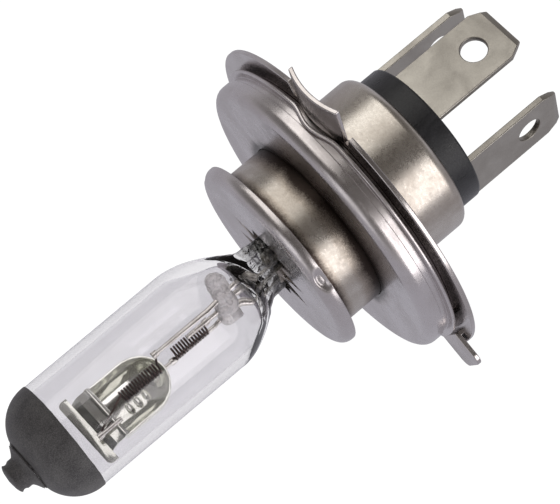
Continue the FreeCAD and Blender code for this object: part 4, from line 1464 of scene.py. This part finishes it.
@dataclass
class Terminals:
    """Insulator and the three blades. Sizes in millimetres."""

    edge: float = 0.12
    plug_r: float = 9.35
    plug_shoulder_r: float = 10.3
    plug_front_x: float = 1.6
    plug_step_x: float = 8.9
    plug_rear_x: float = 12.4
    recess_r: float = 4.6
    recess_floor_x: float = 9.4
    blade: PlatedMetal = field(default_factory=lambda: PlatedMetal(
        "blade_plate", (0.47, 0.445, 0.40), (0.37, 0.345, 0.31), rough=0.42, rough_spread=0.07,
        grain_scale=8.0, grain_depth=0.004 * MM, cloud_scale=0.2, cloud_share=0.7))
    plug: MouldedPlug = field(default_factory=lambda: MouldedPlug("moulded_black"))

    def build(self) -> list[bpy.types.Object]:
        """Build the rear end.

        Returns:
            The finished pieces.
        """
        plate = self.blade.make()
        pieces = [Workshop.dress(self.insulator(), self.plug.make(), Slot.INSULATOR,
                                 ["terminal_insulator"])]
        for side in ("top", "left", "right"):
            node = "terminal_" + side
            blade = Workshop.eased_copy(node, side + "_blade", self.edge * MM)
            pieces.append(Workshop.dress(blade, plate, Slot.TERMINAL, [node]))
        return pieces

    def insulator(self) -> bpy.types.Object:
        """Moulded plug with a shallow recess between the blades."""
        outline = Workshop.rounded([
            (self.plug_front_x, 0.02, 0.002), (self.plug_front_x, self.plug_shoulder_r, 0.3),
            (self.plug_step_x, self.plug_shoulder_r, 0.7), (self.plug_step_x, self.plug_r, 0.06),
            (self.plug_rear_x, self.plug_r, 0.3), (self.plug_rear_x, self.recess_r, 0.15),
            (self.recess_floor_x, self.recess_r, 0.2), (self.recess_floor_x, 0.02, 0.002)],
            ease=0.002, steps=6, hug=0.005)
        return Workshop.turned("moulded_insulator", outline, 260)


# ---------------------------------------------------------------------------------------------
# Studio
# ---------------------------------------------------------------------------------------------


@dataclass(frozen=True)
class SoftBox:
    """One soft area light, aimed at the bulb."""

    name: str
    direction: Point
    width: float
    height: float
    brightness: float
    colour: Colour = (1.0, 1.0, 1.0)
    distance: float = 0.6

    def hang(self) -> bpy.types.Object:
        """Add the light.

        Returns:
            The light object.
        """
        lamp = bpy.data.lights.new(self.name, "AREA")
        lamp.shape = "RECTANGLE"
        lamp.size = self.width
        lamp.size_y = self.height
        lamp.energy = self.brightness * math.pi * self.width * self.height
        lamp.color = self.colour
        made = Workshop.stand(self.name, lamp)
        away = Vector(self.direction).normalized()
        made.location = away * self.distance
        made.rotation_euler = away.to_track_quat("Z", "X").to_euler()
        made.visible_camera = False
        return made


@dataclass
class Studio:
    """Lit table, soft lights, surround and camera."""

    table_z: float = -21.6 * MM
    table_half: float = 1.6
    camera_at: Point = (-65.456 * MM, -141.805 * MM, 283.342 * MM)
    camera_turn: Point = (0.46592, 0.17037, -0.69794)
    lens: float = 180.2
    sky: tuple[tuple[float, Colour], ...] = (
        (0.0, (0.48, 0.475, 0.52)), (0.45, (0.46, 0.45, 0.49)), (0.54, (0.5, 0.49, 0.51)),
        (0.66, (0.26, 0.25, 0.25)), (1.0, (0.10, 0.09, 0.083)))
    boxes: tuple[SoftBox, ...] = (
        SoftBox("key_box", (0.22, -0.93, 0.24), 0.50, 0.22, 2.6, (1.0, 0.975, 0.97)),
        SoftBox("top_box", (0.15, 0.40, 0.92), 0.62, 0.30, 1.5, (1.0, 0.985, 0.95)),
        SoftBox("tip_box", (-0.9, -0.25, 0.45), 0.35, 0.35, 0.8, (0.97, 0.97, 1.0)),
    )

    def build(self) -> None:
        """Set up the studio."""
        self.table()
        self.surround()
        for box in self.boxes:
            box.hang()
        self.camera()
        view = bpy.context.scene.view_settings
        view.view_transform = "Standard"
        view.look = "None"

    def table(self) -> None:
        """Pale table top under the bulb."""
        half = self.table_half
        corners = np.array([(-half, -half, self.table_z), (half, -half, self.table_z),
                            (half, half, self.table_z), (-half, half, self.table_z)])
        made = Workshop.piece("table_top", corners, [(0, 1, 2, 3)])
        made.data.materials.append(LightTable("lit_table").make())
        made.visible_glossy = False

    def surround(self) -> None:
        """Soft grey surround, lilac below and dim above."""
        world = bpy.data.worlds.new("studio_surround")
        bpy.context.scene.world = world
        world.use_nodes = True
        board = NodeBoard(world.node_tree)
        board.tree.nodes.clear()
        where = board.node("TexCoord")
        split = board.node("SeparateXYZ", Vector=where.outputs["Generated"])
        height = board.node("MapRange", Value=split.outputs["Z"], From_Min=-1.0)
        back = board.node("Background", Color=board.ramp(height.outputs[0], self.sky))
        board.node("OutputWorld", Surface=back.outputs[0])

    def camera(self) -> None:
        """Camera at the product view."""
        eye = bpy.data.cameras.new("product_camera")
        eye.lens = self.lens
        eye.sensor_width = 36.0
        eye.clip_start = 0.01
        eye.clip_end = 20.0
        made = Workshop.stand("product_camera", eye)
        made.location = self.camera_at
        made.rotation_euler = Euler(self.camera_turn, "XYZ")
        bpy.context.scene.camera = made


def main() -> None:
    """Build every sub-assembly and the studio, and report each piece."""
    logging.basicConfig(level=logging.INFO, format="%(name)s: %(message)s")
    for assembly in (Capsule(), Burner(), Base(), Terminals()):
        for made in assembly.build():
            LOG.info("%s: %s, %d faces", type(assembly).__name__, made.name, len(made.data.polygons))
    Studio().build()


if __name__ == "__main__":
    main()
